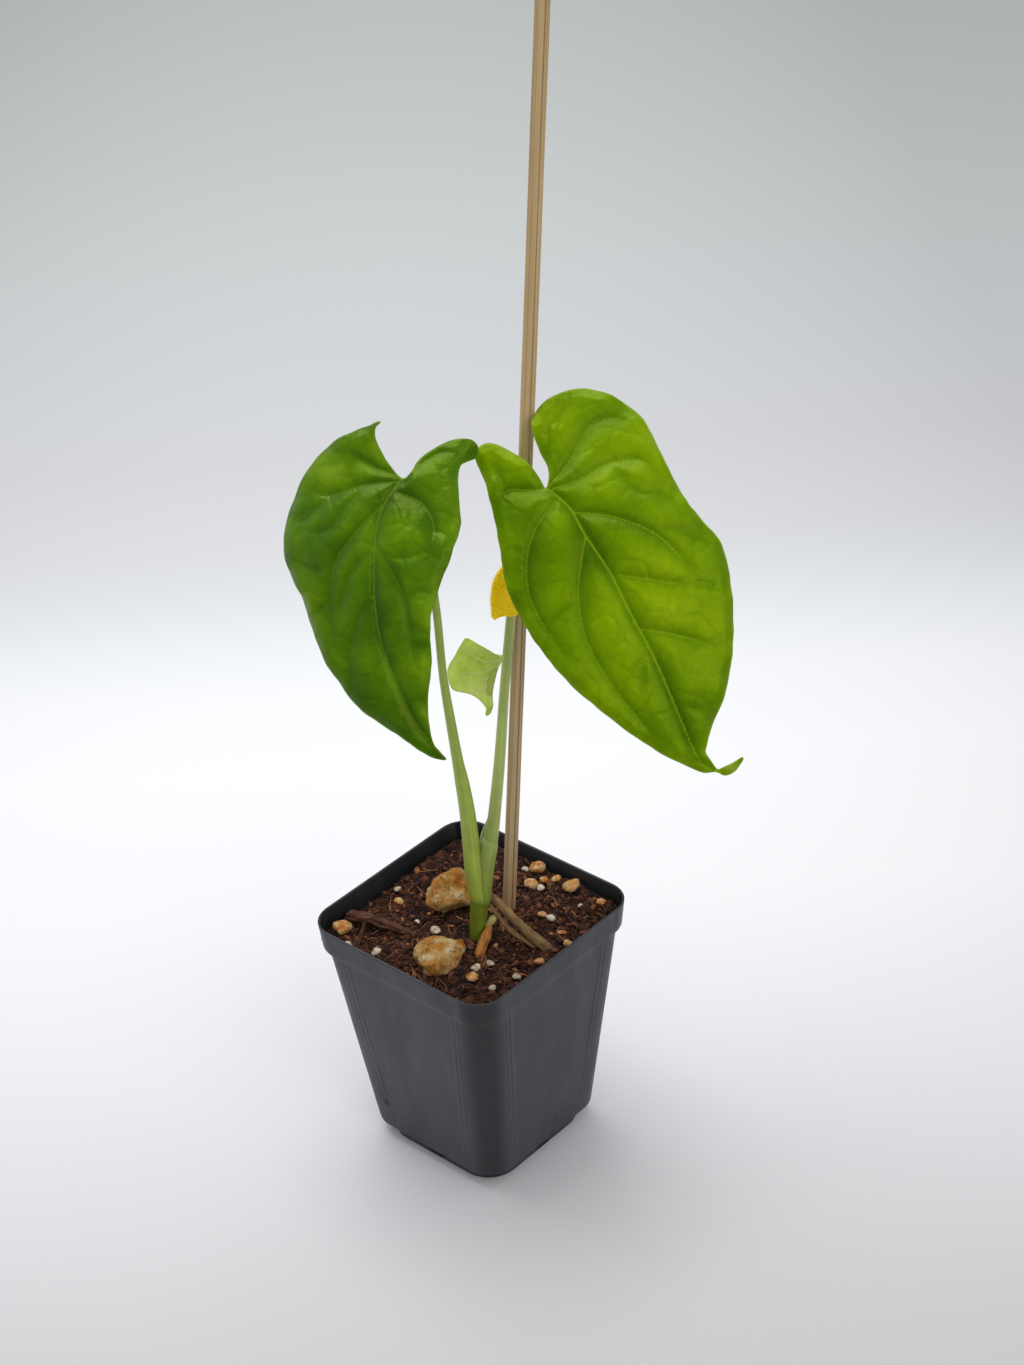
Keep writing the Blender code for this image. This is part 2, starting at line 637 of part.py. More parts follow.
def build():
    clear_scene()
    whole = bpy.data.objects.new("potted_plant", None)
    bpy.context.scene.collection.objects.link(whole)

    build_pot()
    soil = build_soil()
    build_stake()
    add_tube("stem", plant_route(STEM), "stem", 12, level_ends=(-1,))
    build_sheath()
    add_tube("left_stalk", plant_route(LEFT_STALK), "stalk", 8, level_ends=(0,))
    add_tube("right_stalk", plant_route(RIGHT_STALK), "stalk", 8, level_ends=(0,))
    add_tube("young_stalk", plant_route(YOUNG_STALK, 3), "stalk", 7, level_ends=(0,))
    add_tube("prop_root", plant_route(PROP_ROOT), "root", 8)
    add_tube("young_root", plant_route(YOUNG_ROOT, 3), "root", 8)
    add_tube("bud", plant_route(BUD, 3), "stalk", 8)
    build_tie()

    add_blade("left_leaf", LEFT_LEAF, "old_leaf")
    add_blade("right_leaf", RIGHT_LEAF, "new_leaf")
    add_blade("young_leaf", YOUNG_LEAF, "pale_leaf", per_span=3)

    add_bark("bark_stick", BARK_STICK, 8)
    add_bark("bark_twig", BARK_TWIG, 6)
    for name, (place, size, turn, seed) in CHUNKS.items():
        add_pebble(name, place, size, turn, seed, "grit", 3)
    for number, (fx, fy, length, breadth, turn, kind) in enumerate(GRAINS, 1):
        size = (length * MM, breadth * MM, breadth * GRAIN_HEIGHT_SHARE * MM)
        add_pebble(f"grain_{number:02d}", (fx, fy), size, turn, number, kind, 2)

    # room in the soil for what stands in it
    bottom, _ = stake_span()
    bm = bmesh.new()
    join_rings(bm, [stake_ring(bottom - CLEARANCE, CLEARANCE), stake_ring(SOIL_DROP, CLEARANCE)])
    cut(soil, add_object("stake_cutter", bm, "soil"))
    for name, points in (("stem", STEM), ("prop_root", PROP_ROOT), ("young_root", YOUNG_ROOT)):
        route = plant_route(points)
        if name == "stem":
            route.reverse()
        onward = (route[-1] - route[-2]).to_3d().normalized() * 2 * CLEARANCE
        route[-1] += onward.to_4d() - Vector((0, 0, 0, 1))
        cut(soil, add_tube(name + "_cutter", route, "soil", 12, ROOT_CLEARANCE))

    for obj in bpy.data.objects:
        if obj.type == "MESH":
            obj.parent = whole


build()
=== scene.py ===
import json
import math

import bmesh
import bpy
import numpy as np
from mathutils import Matrix, Vector, noise
from mathutils.geometry import delaunay_2d_cdt


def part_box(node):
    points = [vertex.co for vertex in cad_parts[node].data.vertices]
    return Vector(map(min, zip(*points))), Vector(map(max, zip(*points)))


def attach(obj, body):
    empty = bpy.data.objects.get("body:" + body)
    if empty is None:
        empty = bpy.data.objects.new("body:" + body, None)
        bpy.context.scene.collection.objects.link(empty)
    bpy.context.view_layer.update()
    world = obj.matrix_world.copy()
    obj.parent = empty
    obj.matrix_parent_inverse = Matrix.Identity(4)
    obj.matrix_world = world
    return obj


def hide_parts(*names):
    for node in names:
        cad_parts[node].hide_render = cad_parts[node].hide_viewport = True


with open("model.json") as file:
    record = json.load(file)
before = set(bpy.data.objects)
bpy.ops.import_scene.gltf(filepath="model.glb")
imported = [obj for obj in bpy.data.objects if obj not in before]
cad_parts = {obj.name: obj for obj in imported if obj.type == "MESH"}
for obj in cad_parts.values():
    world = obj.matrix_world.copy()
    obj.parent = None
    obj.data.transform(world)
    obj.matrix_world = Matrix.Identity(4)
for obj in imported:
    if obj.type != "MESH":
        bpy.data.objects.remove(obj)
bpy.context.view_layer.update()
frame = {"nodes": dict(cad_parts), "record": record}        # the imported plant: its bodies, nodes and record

# Young heart-leaved climber in a square nursery pot. Lists of points are in millimetres,
# heights in them are above the soil's level, and mm turns them into metres.
mm = 0.001
up = Vector((0, 0, 1))
potLow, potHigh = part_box("pot")
rimHeight = potHigh.z
soilDrop = 7.5                                     # soil below the rim, mm
soilLevel = rimHeight - soilDrop * mm
broadWay = Vector((0.731, 0.682, 0)).normalized()
broadSide = np.array(broadWay)                     # the plant's broad side, left to right
front = np.array(broadWay.cross(up))               # the way that the leaves look
soilPlane = np.array((0, 0, soilLevel))


# small helpers: curves, meshes and nodes

def srgb(red, green, blue):
    # screen colour, 0 to 255, to the linear colour that the nodes use
    steps = [value / 255 for value in (red, green, blue)]
    return (*[s / 12.92 if s <= 0.04045 else ((s + 0.055) / 1.055) ** 2.4 for s in steps], 1.0)


def smoothCurve(points, perSpan=8, closed=False):
    rows = np.array(points, float)
    if closed:
        rows = np.vstack([rows[-1:], rows, rows[:2]])
    else:
        rows = np.vstack([2 * rows[:1] - rows[1:2], rows, 2 * rows[-1:] - rows[-2:-1]])
    t = (np.arange(perSpan) / perSpan)[:, None]
    spans = []
    for a, b, c, d in zip(rows[:-3], rows[1:-2], rows[2:-1], rows[3:]):
        spans.append(0.5 * (2 * b + (c - a) * t + (2 * a - 5 * b + 4 * c - d) * t ** 2
                            + (3 * b - a - 3 * c + d) * t ** 3))
    curve = np.vstack(spans)
    return curve if closed else np.vstack([curve, rows[-2:-1]])


def evenly(curve, spacing, closed=False):
    # the same curve with its points the same distance apart
    if closed:
        curve = np.vstack([curve, curve[:1]])
    step = np.linalg.norm(np.diff(curve[:, :3], axis=0), axis=1)
    length = np.concatenate([[0], np.cumsum(step)])
    count = max(2, int(round(length[-1] / spacing)))
    at = np.linspace(0, length[-1], count + 1)
    even = np.stack([np.interp(at, length, column) for column in curve.T], axis=1)
    return even[:-1] if closed else even


def noiseAt(points, size, seed=0.0):
    # smooth noise, about -1 to 1, with bumps of that size
    shift = Vector((seed * 7.3, seed * 3.1, seed * 5.7))
    return np.array([noise.noise(Vector(p) / size + shift) for p in points])


def addPiece(name, points, faces, material, nodes=(), smooth=True, traits=None):
    mesh = bpy.data.meshes.new(name)
    mesh.from_pydata([tuple(p) for p in np.asarray(points, float)], [], faces)
    for trait, values in (traits or {}).items():
        values = np.asarray(values, np.float32)
        kind, field = ("FLOAT", "value") if values.ndim == 1 else ("FLOAT_VECTOR", "vector")
        mesh.attributes.new(trait, kind, "POINT").data.foreach_set(field, values.ravel())
    shell = bmesh.new()
    shell.from_mesh(mesh)
    bmesh.ops.recalc_face_normals(shell, faces=shell.faces)
    shell.to_mesh(mesh)
    shell.free()
    if smooth:
        mesh.shade_smooth()
    mesh.materials.append(material)
    piece = bpy.data.objects.new(name, mesh)
    bpy.context.scene.collection.objects.link(piece)
    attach(piece, "root")
    if nodes:
        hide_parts(*nodes)
    return piece


def skinRings(rings):
    # quads between rings of the same count, with both ends closed
    count = len(rings[0])
    faces = []
    for r in range(len(rings) - 1):
        low, high = r * count, (r + 1) * count
        for k in range(count):
            after = (k + 1) % count
            faces.append((low + k, low + after, high + after, high + k))
    faces.append(tuple(reversed(range(count))))
    faces.append(tuple(range((len(rings) - 1) * count, len(rings) * count)))
    return faces


def tubeRings(route, sides, shape=None):
    # rings round a route of x, y, z, radius rows. shape(share, angles) gives each point's radius factor.
    centres = route[:, :3]
    ahead = np.gradient(centres, axis=0)
    ahead /= np.linalg.norm(ahead, axis=1)[:, None]
    across = np.cross(ahead[0], front)
    angles = 2 * np.pi * np.arange(sides) / sides
    rings = []
    for i, (centre, way, radius) in enumerate(zip(centres, ahead, route[:, 3])):
        across = across - way * across.dot(way)
        across /= np.linalg.norm(across)
        other = np.cross(way, across)
        factor = np.ones(sides) if shape is None else shape(i / (len(route) - 1), angles)
        rings.append(centre + radius * factor[:, None] * (
            np.cos(angles)[:, None] * across + np.sin(angles)[:, None] * other))
    return np.array(rings)


def roundEnds(route):
    # both ends of a tube drawn in to a dome
    for end, inward in ((0, 1), (-1, -1)):
        radius = route[end, 3]
        way = route[end, :3] - route[end + inward, :3]
        way /= np.linalg.norm(way)
        dome = []
        for angle in np.radians((25, 48, 68, 84)):
            row = route[end].copy()
            row[:3] += way * radius * math.sin(angle)
            row[3] = radius * math.cos(angle)
            dome.append(row)
        route = np.vstack([route, dome]) if end else np.vstack([dome[::-1], route])
    return route


def grainOf(rings, route, sides):
    # coordinates that follow a tube: round it twice over, and along it, in millimetres
    angles = 2 * np.pi * np.arange(sides) / sides
    step = np.linalg.norm(np.diff(route[:, :3], axis=0), axis=1)
    along = np.concatenate([[0], np.cumsum(step)]) / mm
    radius = route[:, 3] / mm
    grain = np.zeros((len(rings), sides, 3))
    grain[..., 0] = radius[:, None] * np.cos(angles)
    grain[..., 1] = radius[:, None] * np.sin(angles)
    grain[..., 2] = along[:, None]
    return grain.reshape(-1, 3)


def plantRoute(points, spacing=1.0, perSpan=10):
    # x, y, height and radius in mm above the soil, to metres, evenly spaced
    route = evenly(smoothCurve(points, perSpan), spacing) * mm
    route[:, 2] += soilLevel
    return route


def addTube(name, route, material, nodeName, sides=20, shape=None):
    route = roundEnds(route)
    rings = tubeRings(route, sides, shape)
    addPiece(name, rings.reshape(-1, 3), skinRings(rings), material, [nodeName],
             traits={"grain": grainOf(rings, route, sides)})


def newMaterial(name, settings):
    material = bpy.data.materials.new(name)
    material.use_nodes = True
    shader = material.node_tree.nodes["Principled BSDF"]
    for socket, value in settings.items():
        shader.inputs[socket].default_value = value
    return material, material.node_tree


def fill(tree, made, inputs):
    # a value goes on its socket, and another node's output is joined to it
    for key, value in inputs.items():
        if isinstance(value, bpy.types.NodeSocket):
            tree.links.new(value, made.inputs[key])
        else:
            made.inputs[key].default_value = value


def node(tree, kind, inputs=None, **settings):
    made = tree.nodes.new("ShaderNode" + kind)
    for key, value in settings.items():
        setattr(made, key, value)
    fill(tree, made, inputs or {})
    return made


def trait(tree, name, output="Fac"):
    return node(tree, "Attribute", attribute_name=name).outputs[output]


def place(tree, scale=(1, 1, 1), source=None):
    # position in the plant's own space, or along a piece's grain, stretched by scale
    source = source or node(tree, "TexCoord").outputs["Object"]
    return node(tree, "Mapping", {"Vector": source, "Scale": scale}).outputs["Vector"]


def heightNode(tree):
    return node(tree, "SeparateXYZ", {"Vector": node(tree, "TexCoord").outputs["Object"]}).outputs["Z"]


def treeOf(*values):
    # the node tree of the first socket among the values
    return next(value.id_data for value in values if isinstance(value, bpy.types.NodeSocket))


def noiseNode(vector, scale, detail=4.0, rough=0.55):
    return node(treeOf(vector), "TexNoise", {"Vector": vector, "Scale": scale, "Detail": detail,
                                             "Roughness": rough}).outputs["Fac"]


def cellsNode(vector, scale):
    return node(treeOf(vector), "TexVoronoi", {"Vector": vector, "Scale": scale}).outputs["Distance"]


def ramp(factor, stops):
    made = node(treeOf(factor), "ValToRGB", {"Fac": factor})
    elements = made.color_ramp.elements
    elements[0].position, elements[1].position = stops[0][0], stops[-1][0]
    for at, _ in stops[1:-1]:
        elements.new(at)
    for element, (_, colour) in zip(elements, stops):
        element.color = colour
    return made.outputs["Color"]


def grey(value):
    return (value, value, value, 1.0)


def mix(factor, first, second, blendType="MIX"):
    tree = treeOf(factor, first, second)
    made = node(tree, "Mix", data_type="RGBA", blend_type=blendType)
    fill(tree, made, {0: factor, 6: first, 7: second})
    return made.outputs[2]


def maths(operation, *values):
    tree = treeOf(*values)
    made = node(tree, "Math", operation=operation)
    fill(tree, made, dict(enumerate(values)))
    return made.outputs[0]


def times(first, second):
    return maths("MULTIPLY", first, second)


def plus(first, second):
    return maths("ADD", first, second)


def blend(first, second, share):
    # two patterns added up, the second one by its share
    return plus(times(first, 1 - share), times(second, share))


def span(value, low, high, first=0.0, last=1.0):
    # value from low to high, turned into first to last
    return node(treeOf(value), "MapRange", {"Value": value, "From Min": low, "From Max": high,
                                            "To Min": first, "To Max": last}).outputs["Result"]


def mottled(strength, colour, pattern, low, high):
    # the colour made darker and lighter by a pattern; low and high are a place in it and a grey
    greys = ramp(pattern, [(at, grey(value)) for at, value in (low, high)])
    return mix(strength, colour, greys, "MULTIPLY")


def painted(material, colour, height, depth, strength, rough=None):
    # joins colour, relief and, where it varies, roughness to the material's shader
    tree = material.node_tree
    relief = node(tree, "Bump", {"Height": height, "Distance": depth, "Strength": strength})
    joins = {"Base Color": colour, "Normal": relief.outputs["Normal"]}
    if rough:
        joins["Roughness"] = rough
    fill(tree, tree.nodes["Principled BSDF"], joins)
    return material


# camera, floor and light

view = {"place": (0.61176, -0.62587, 0.76183), "azimuth": 42.996, "down": 32.556, "roll": -3.547,
        "lens": 76.386, "film": 36.0}


def addCamera():
    turn, down, roll = (math.radians(view[key]) for key in ("azimuth", "down", "roll"))
    forward = Vector((-math.sin(turn) * math.cos(down), math.cos(turn) * math.cos(down), -math.sin(down)))
    level = forward.cross(up).normalized()
    above = level.cross(forward)
    right = level * math.cos(roll) + above * math.sin(roll)
    top = above * math.cos(roll) - level * math.sin(roll)
    data = bpy.data.cameras.new("camera")
    data.lens = view["lens"]
    data.sensor_width = view["film"]
    camera = bpy.data.objects.new("camera", data)
    camera.matrix_world = Matrix((
        (right.x, top.x, -forward.x, view["place"][0]), (right.y, top.y, -forward.y, view["place"][1]),
        (right.z, top.z, -forward.z, view["place"][2]), (0, 0, 0, 1)))
    bpy.context.scene.collection.objects.link(camera)
    bpy.context.scene.camera = camera


studio = {
    "floorRadius": 6.0, "floorWay": (-0.682, 0.731), "floorAcross": (0.731, 0.682),
    # painted shade towards both sides of the floor: its strength, its centre's offset and its darkest share
    "sideShade": 1.2, "sideShadeCentre": 0.05, "mostSideShade": 0.16,
    # painted light and shade on the paper, from the front to the back: distance in metres, then red, green
    # and blue
    "floorLightAndShade": [(-0.30, 178, 180, 181), (-0.122, 201, 202, 203), (-0.049, 214, 215, 217),
                   (0.04, 228, 228, 231), (0.142, 240, 240, 242), (0.251, 243, 243, 245),
                   (0.32, 239, 240, 243), (0.368, 230, 232, 234), (0.397, 223, 225, 228),
                   (0.428, 217, 219, 221), (0.459, 213, 214, 217), (0.56, 207, 208, 210),
                   (0.757, 204, 207, 208), (0.998, 201, 205, 204), (1.255, 200, 204, 203)],
    "world": (0.975, 0.985, 1.0), "worldStrength": 0.62,
    "keyPower": 12.0, "keySize": 1.1, "keyPlace": (-0.42, 0.12, 1.45),
    "fillPower": 4.6, "fillSize": 1.0, "fillPlace": (1.1, -0.3, 0.9),
}


def addLight(name, power, size, position, colour=(1, 1, 1)):
    data = bpy.data.lights.new(name, "AREA")
    data.energy = power
    data.size = size
    data.color = colour
    light = bpy.data.objects.new(name, data)
    light.location = position
    aim = Vector((0, 0, 0.15)) - Vector(position)
    light.rotation_euler = aim.to_track_quat("-Z", "Y").to_euler()
    bpy.context.scene.collection.objects.link(light)


def addStudio():
    material, tree = newMaterial("floorPaper", {"Roughness": 0.75, "Specular IOR Level": 0.2})
    where = node(tree, "TexCoord").outputs["Object"]
    first, last = studio["floorLightAndShade"][0][0], studio["floorLightAndShade"][-1][0]
    along = node(tree, "VectorMath", {0: where, 1: (*studio["floorWay"], 0)}, operation="DOT_PRODUCT")
    across = node(tree, "VectorMath", {0: where, 1: (*studio["floorAcross"], 0)}, operation="DOT_PRODUCT")
    # painted light and shade: the paper is lighter round the pot and darker at the front and the back
    stops = [((d - first) / (last - first), srgb(*tone)) for d, *tone in studio["floorLightAndShade"]]
    colour = ramp(span(along.outputs["Value"], first, last), stops)
    # painted shade: the paper darkens towards both sides
    off = plus(across.outputs["Value"], studio["sideShadeCentre"])
    shade = times(times(off, off), studio["sideShade"])
    shade = maths("MINIMUM", shade, studio["mostSideShade"])
    colour = mix(shade, colour, grey(0.0))
    tree.links.new(colour, tree.nodes["Principled BSDF"].inputs["Base Color"])
    disc = bmesh.new()
    bmesh.ops.create_circle(disc, cap_ends=True, segments=96, radius=studio["floorRadius"])
    mesh = bpy.data.meshes.new("floor")
    disc.to_mesh(mesh)
    disc.free()
    mesh.materials.append(material)
    floor = bpy.data.objects.new("floor", mesh)
    floor.location.z = potLow.z
    bpy.context.scene.collection.objects.link(floor)
    world = bpy.data.worlds.new("studioAir")
    world.use_nodes = True
    air = world.node_tree.nodes["Background"]
    air.inputs["Color"].default_value = (*studio["world"], 1.0)
    air.inputs["Strength"].default_value = studio["worldStrength"]
    bpy.context.scene.world = world
    addLight("keyLight", studio["keyPower"], studio["keySize"], studio["keyPlace"])
    addLight("fillLight", studio["fillPower"], studio["fillSize"], studio["fillPlace"])
    bpy.context.scene.view_settings.view_transform = "Standard"


addCamera()
addStudio()
print("stage: camera and studio")


# leaf blades

# Outlines run clockwise from the notch in the blade's own plane, across and up. Each vein is its
# points, its width at both ends and how strongly it shows. swells lift or press the blade round a spot.
# shades are spots of painted light and shade, some of them a painted sheen, added to the blade's colour; the
# strong one at the right leaf's tip stands for its paler underside where the tip twists
leftLeaf = {
    "foot": (-0.7, -17.1, 199.4), "heading": -61.0, "tilt": 32.0,
    "arch": 8.0, "droop": 5.5, "halfWidth": 30.0, "tip": (21.7, -93.8),
    "outline": [
        (0, 0), (3, 2.3), (5.2, 6.8), (9.5, 10.6), (14, 13.4), (18.4, 14.8), (22, 14.4), (23.9, 12.2),
        (23.5, 8.8), (21.2, 7.2), (19.2, 5.4), (19.3, 0.8), (20.4, -4.8), (22.1, -14.5), (20.6, -24.5),
        (16.8, -37), (15.3, -48), (15.8, -62), (15.2, -77), (17.6, -89), (21.7, -93.8), (16, -93),
        (5.5, -87), (-9.4, -78.2), (-21, -65.5), (-29.4, -51), (-32.4, -43.4), (-35, -39.5),
        (-40.6, -30.5), (-42.4, -20), (-40.2, -8), (-34.2, 3.8), (-27.4, 10.6), (-18.2, 15.4),
        (-13.8, 17.2), (-11.2, 18.3), (-9.0, 18.6), (-10.4, 17.0), (-10.6, 14.6), (-9.6, 11.4),
        (-5.4, 4.6),
    ],
    "veins": [
        ([(0, 0), (-1, -1.4), (-5.3, -9.8), (-6.8, -18.7), (-6.1, -31.2), (-4.7, -43.3), (-1.8, -55.6),
          (4.4, -69.5), (10.4, -81.2), (21, -93)], 0.75, 0.25, 1.0),
        ([(0, 0), (-11.8, 3.8), (-20.2, 8.4)], 0.5, 0.2, 0.85),
        ([(-1, -1.4), (-14.1, -3.2), (-25.8, -7.2), (-34, -5)], 0.5, 0.2, 0.8),
        ([(-6.3, -10.5), (-13.7, -19.1), (-20.4, -30), (-21.3, -42.7), (-19.9, -53.4)], 0.5, 0.2, 0.85),
        ([(-7.1, -24.8), (-13.9, -32.3), (-16.8, -41.3), (-17.5, -50)], 0.4, 0.15, 0.6),
        ([(-6, -40.7), (-10.9, -50.8), (-13.3, -62.5)], 0.4, 0.15, 0.6),
        ([(-0.7, -5.1), (7.5, -8), (12.8, -14.8), (13.8, -24.5)], 0.5, 0.2, 0.8),
        ([(-5.7, -24.7), (0.8, -32.4), (5.6, -40.9), (7.9, -49.6), (10, -60)], 0.45, 0.2, 0.8),
        ([(0, 0), (6, 5.2), (12.5, 9.5), (18.5, 9.6)], 0.5, 0.2, 0.8),
        ([(-25.8, -7.2), (-33, -15), (-38, -17)], 0.3, 0.12, 0.4),
        ([(-14.1, -3.2), (-22, -16), (-28, -20), (-35, -19)], 0.3, 0.12, 0.4),
        ([(-20.4, -30), (-27, -33), (-34, -31)], 0.3, 0.12, 0.4),
        ([(-21.3, -42.7), (-26, -47)], 0.3, 0.12, 0.4),
        ([(-5.5, -25.5), (3, -27), (12, -24.5)], 0.3, 0.12, 0.4),
        ([(5.6, -40.9), (10.5, -38), (15.5, -38)], 0.3, 0.12, 0.4),
        ([(-1.8, -55.6), (2, -66), (3.5, -76)], 0.3, 0.12, 0.4),
        ([(-13.3, -62.5), (-12, -72)], 0.3, 0.12, 0.35),
        ([(9.5, -57), (14, -56)], 0.3, 0.12, 0.4),
    ],
    "quilt": 2.3, "quiltReach": 3.0, "groove": 0.10, "ridge": 0.18, "crossSize": 8.5, "crossDepth": 0.24,
    "wave": 0.7, "waveLength": 21.0, "ragged": 0.32, "seed": 2.0, "thickness": 0.42, "midribUnder": 1.1,
    "swells": [(25.5, 9, 5.0, -5.5), (-9.6, 19.5, 4.5, 2.2), (-30, -28, 15, 1.6), (12, -5, 9, -1.6),
               (18, -70, 14, -2.4), (-16, 11, 9, 1.2)],
    "shades": [(-20, 2, 9, 0.7), (8, -27, 6, 0.8), (12.5, 7, 6, 0.9), (-14, -60, 16, -0.5),
               (-6, -40, 8, -0.6), (15, -88, 5, 0.6), (-36, -22, 9, 0.3)],
}
rightLeaf = {
    "foot": (36.0, 14.4, 193.2), "heading": -47.0, "tilt": 32.5,
    "arch": 8.0, "droop": 5.0, "halfWidth": 38.0, "tip": (53.0, -99.5),
    "outline": [
        (0, 0), (1.1, 6.4), (-2, 14.8), (-3.4, 23), (0.8, 29.1), (8.5, 33.1), (18, 33.2), (27.2, 28.8),
        (34.6, 21.6), (40.5, 7.7), (47.5, -8), (57.9, -22.6), (60.3, -39), (59.7, -56), (56.5, -71.5),
        (50.8, -84.4), (48.9, -89.8), (48.3, -92.0), (49.0, -93.8), (51.8, -98.2), (53.4, -98.2),
        (56.0, -96.9), (60.9, -95.0), (59.2, -98.4), (57.0, -100.2), (54.4, -100.8), (51.6, -99.5),
        (44.8, -98.4), (28.7, -88.9), (12, -74.8), (0.5, -62.7), (-10.3, -45.5), (-15.6, -31.5),
        (-17.4, -14), (-20.5, 3.3), (-23.4, 12.8), (-19.6, 16.8), (-13.6, 15.1), (-6.4, 9.6),
        (-2.2, 4.2),
    ],
    "veins": [
        ([(0, 0), (1.9, -1.5), (7.7, -7.6), (12.2, -17), (19.8, -30.4), (26, -45), (32.6, -59.3),
          (38.7, -76), (43.3, -88.8), (46.9, -96.5), (51.5, -99.1), (55.9, -98.9), (60.4, -95.6)],
         0.75, 0.2, 1.0),
        ([(0.7, 0), (7.6, 7.7), (15.8, 20), (23.1, 23), (29, 21)], 0.5, 0.2, 0.85),
        ([(1.3, -0.8), (11, 2), (22.2, 7.4), (33, 7.4), (38, 2)], 0.5, 0.2, 0.85),
        ([(8.9, -9), (21, -11.1), (33.5, -16.7), (41.9, -24.3), (49, -34.9)], 0.5, 0.2, 0.85),
        ([(22.5, -31.2), (32.5, -33.2), (41.2, -35.1), (48, -33)], 0.45, 0.2, 0.7),
        ([(29.4, -50), (40.2, -52.3), (52.8, -56.8)], 0.45, 0.2, 0.7),
        ([(0.6, -0.7), (-6.5, -0.3), (-12.9, 0.1), (-16.9, -4.4)], 0.5, 0.2, 0.8), ([(3.1, -4.6),
        (-3.5, -12.3), (-7.4, -21.2), (-8.4, -32), (-5.4, -43.1), (4, -58)], 0.5, 0.2, 0.85),
        ([(12.1, -18), (9.8, -27.7), (8.5, -38.5), (10.3, -52.2), (17.5, -67.2), (29.1, -83.5),
          (38, -92)], 0.45, 0.2, 0.85),
        ([(0.4, 1), (0.8, 10), (2.5, 20), (7, 27)], 0.3, 0.12, 0.4),
        ([(-12.9, 0.1), (-17, 8)], 0.3, 0.12, 0.4),
        ([(22.2, 7.4), (30, -3), (38, -4), (45, -12)], 0.3, 0.12, 0.4),
        ([(33.5, -16.7), (44, -17), (52, -22)], 0.3, 0.12, 0.45),
        ([(30.5, -52.5), (29, -62), (27, -70)], 0.3, 0.12, 0.4),
        ([(-8.4, -32), (-12, -37)], 0.3, 0.12, 0.35),
        ([(8.5, -38.5), (0, -45), (-3, -50)], 0.3, 0.12, 0.35),
        ([(49, -34.9), (55, -37)], 0.3, 0.12, 0.4),
        ([(38.7, -76), (47, -78)], 0.3, 0.12, 0.35),
        ([(-7.4, -21.2), (-13.5, -20)], 0.3, 0.12, 0.35),
    ],
    "quilt": 2.3, "quiltReach": 3.3, "groove": 0.10, "ridge": 0.2, "crossSize": 9.5, "crossDepth": 0.22,
    "wave": 0.8, "waveLength": 17.0, "ragged": 0.28, "seed": 5.0, "thickness": 0.42, "midribUnder": 1.2,
    "swells": [(58, -97, 5, 2.0), (-21, 13, 8, -2.4), (8, 32, 12, -1.6), (55, -55, 12, -1.4),
               (52, -86, 7, -1.8), (-12, -34, 12, -1.6), (30, -15, 14, 1.2)],
    "shades": [(6, 24, 8, 0.5), (24, 18, 9, -0.9), (-12, -6, 9, -1.0), (14, -26, 7, -0.8),
               (27, -46, 7, -0.8), (40, -26, 10, 0.6), (45, -48, 10, 0.2), (18, -72, 12, 0.5),
               (2, -11, 5, 0.8), (57, -98, 3.5, 3.4)],
}


def bladeAxes(leaf):
    heading, tilt = math.radians(leaf["heading"]), math.radians(leaf["tilt"])
    face = Vector((math.cos(heading) * math.cos(tilt), math.sin(heading) * math.cos(tilt), math.sin(tilt)))
    right = up.cross(face).normalized()
    return np.array(right), np.array(face.cross(right)), np.array(face)


def bladeRise(leaf, x, y):
    # how far the whole blade bends out of its plane: an arch along it and a droop to both sides
    tipX, tipY = leaf["tip"]
    length = math.hypot(tipX, tipY)
    along = (x * tipX + y * tipY) / length ** 2
    aside = (x * tipY - y * tipX) / length
    ahead = 4 * leaf["arch"] * along * (1 - along)
    behind = 4 * leaf["arch"] * along * np.exp(2.5 * np.minimum(along, 0))
    rise = np.where(along > 0, ahead, behind) - leaf["droop"] * (aside / leaf["halfWidth"]) ** 2
    for centreX, centreY, reach, lift in leaf["swells"]:
        rise = rise + lift * np.exp(-((x - centreX) ** 2 + (y - centreY) ** 2) / reach ** 2)
    return rise


def insideOutline(spots, outline):
    x, y = spots[:, 0], spots[:, 1]
    crossings = np.zeros(len(spots), int)
    for (px, py), (qx, qy) in zip(outline, np.roll(outline, -1, axis=0)):
        if py == qy:
            continue
        spans = (py > y) != (qy > y)
        crossings += spans & (x < px + (y - py) * (qx - px) / (qy - py))
    return crossings % 2 == 1


def nearestOn(spots, curve):
    # distance to a curve's points, and which point is the nearest
    distance = np.full(len(spots), 1e9)
    index = np.zeros(len(spots), int)
    for first in range(0, len(spots), 4000):
        part = spots[first:first + 4000]
        gap = np.linalg.norm(part[:, None, :] - curve[None, :, :], axis=2)
        index[first:first + 4000] = gap.argmin(axis=1)
        distance[first:first + 4000] = gap.min(axis=1)
    return distance, index


def gridInside(outline, spacing):
    low, high = outline.min(axis=0), outline.max(axis=0)
    rows = []
    for number, y in enumerate(np.arange(low[1], high[1], spacing * 0.866)):
        start = low[0] + (spacing / 2 if number % 2 else 0)
        xs = np.arange(start, high[0], spacing)
        rows.append(np.stack([xs, np.full(len(xs), y)], axis=1))
    spots = np.vstack(rows)
    spots = spots[insideOutline(spots, outline)]
    return spots[nearestOn(spots, outline)[0] > spacing * 0.55]


def meshInside(outline, spots):
    # triangles over the spots, the first of which are the outline
    ring = list(range(len(outline)))
    edges = list(zip(ring, ring[1:] + ring[:1]))
    flat, _, faces, *_ = delaunay_2d_cdt([Vector(s) for s in spots], edges, [ring], 1, 1e-5)
    return np.array([tuple(s) for s in flat]), [tuple(f) for f in faces]


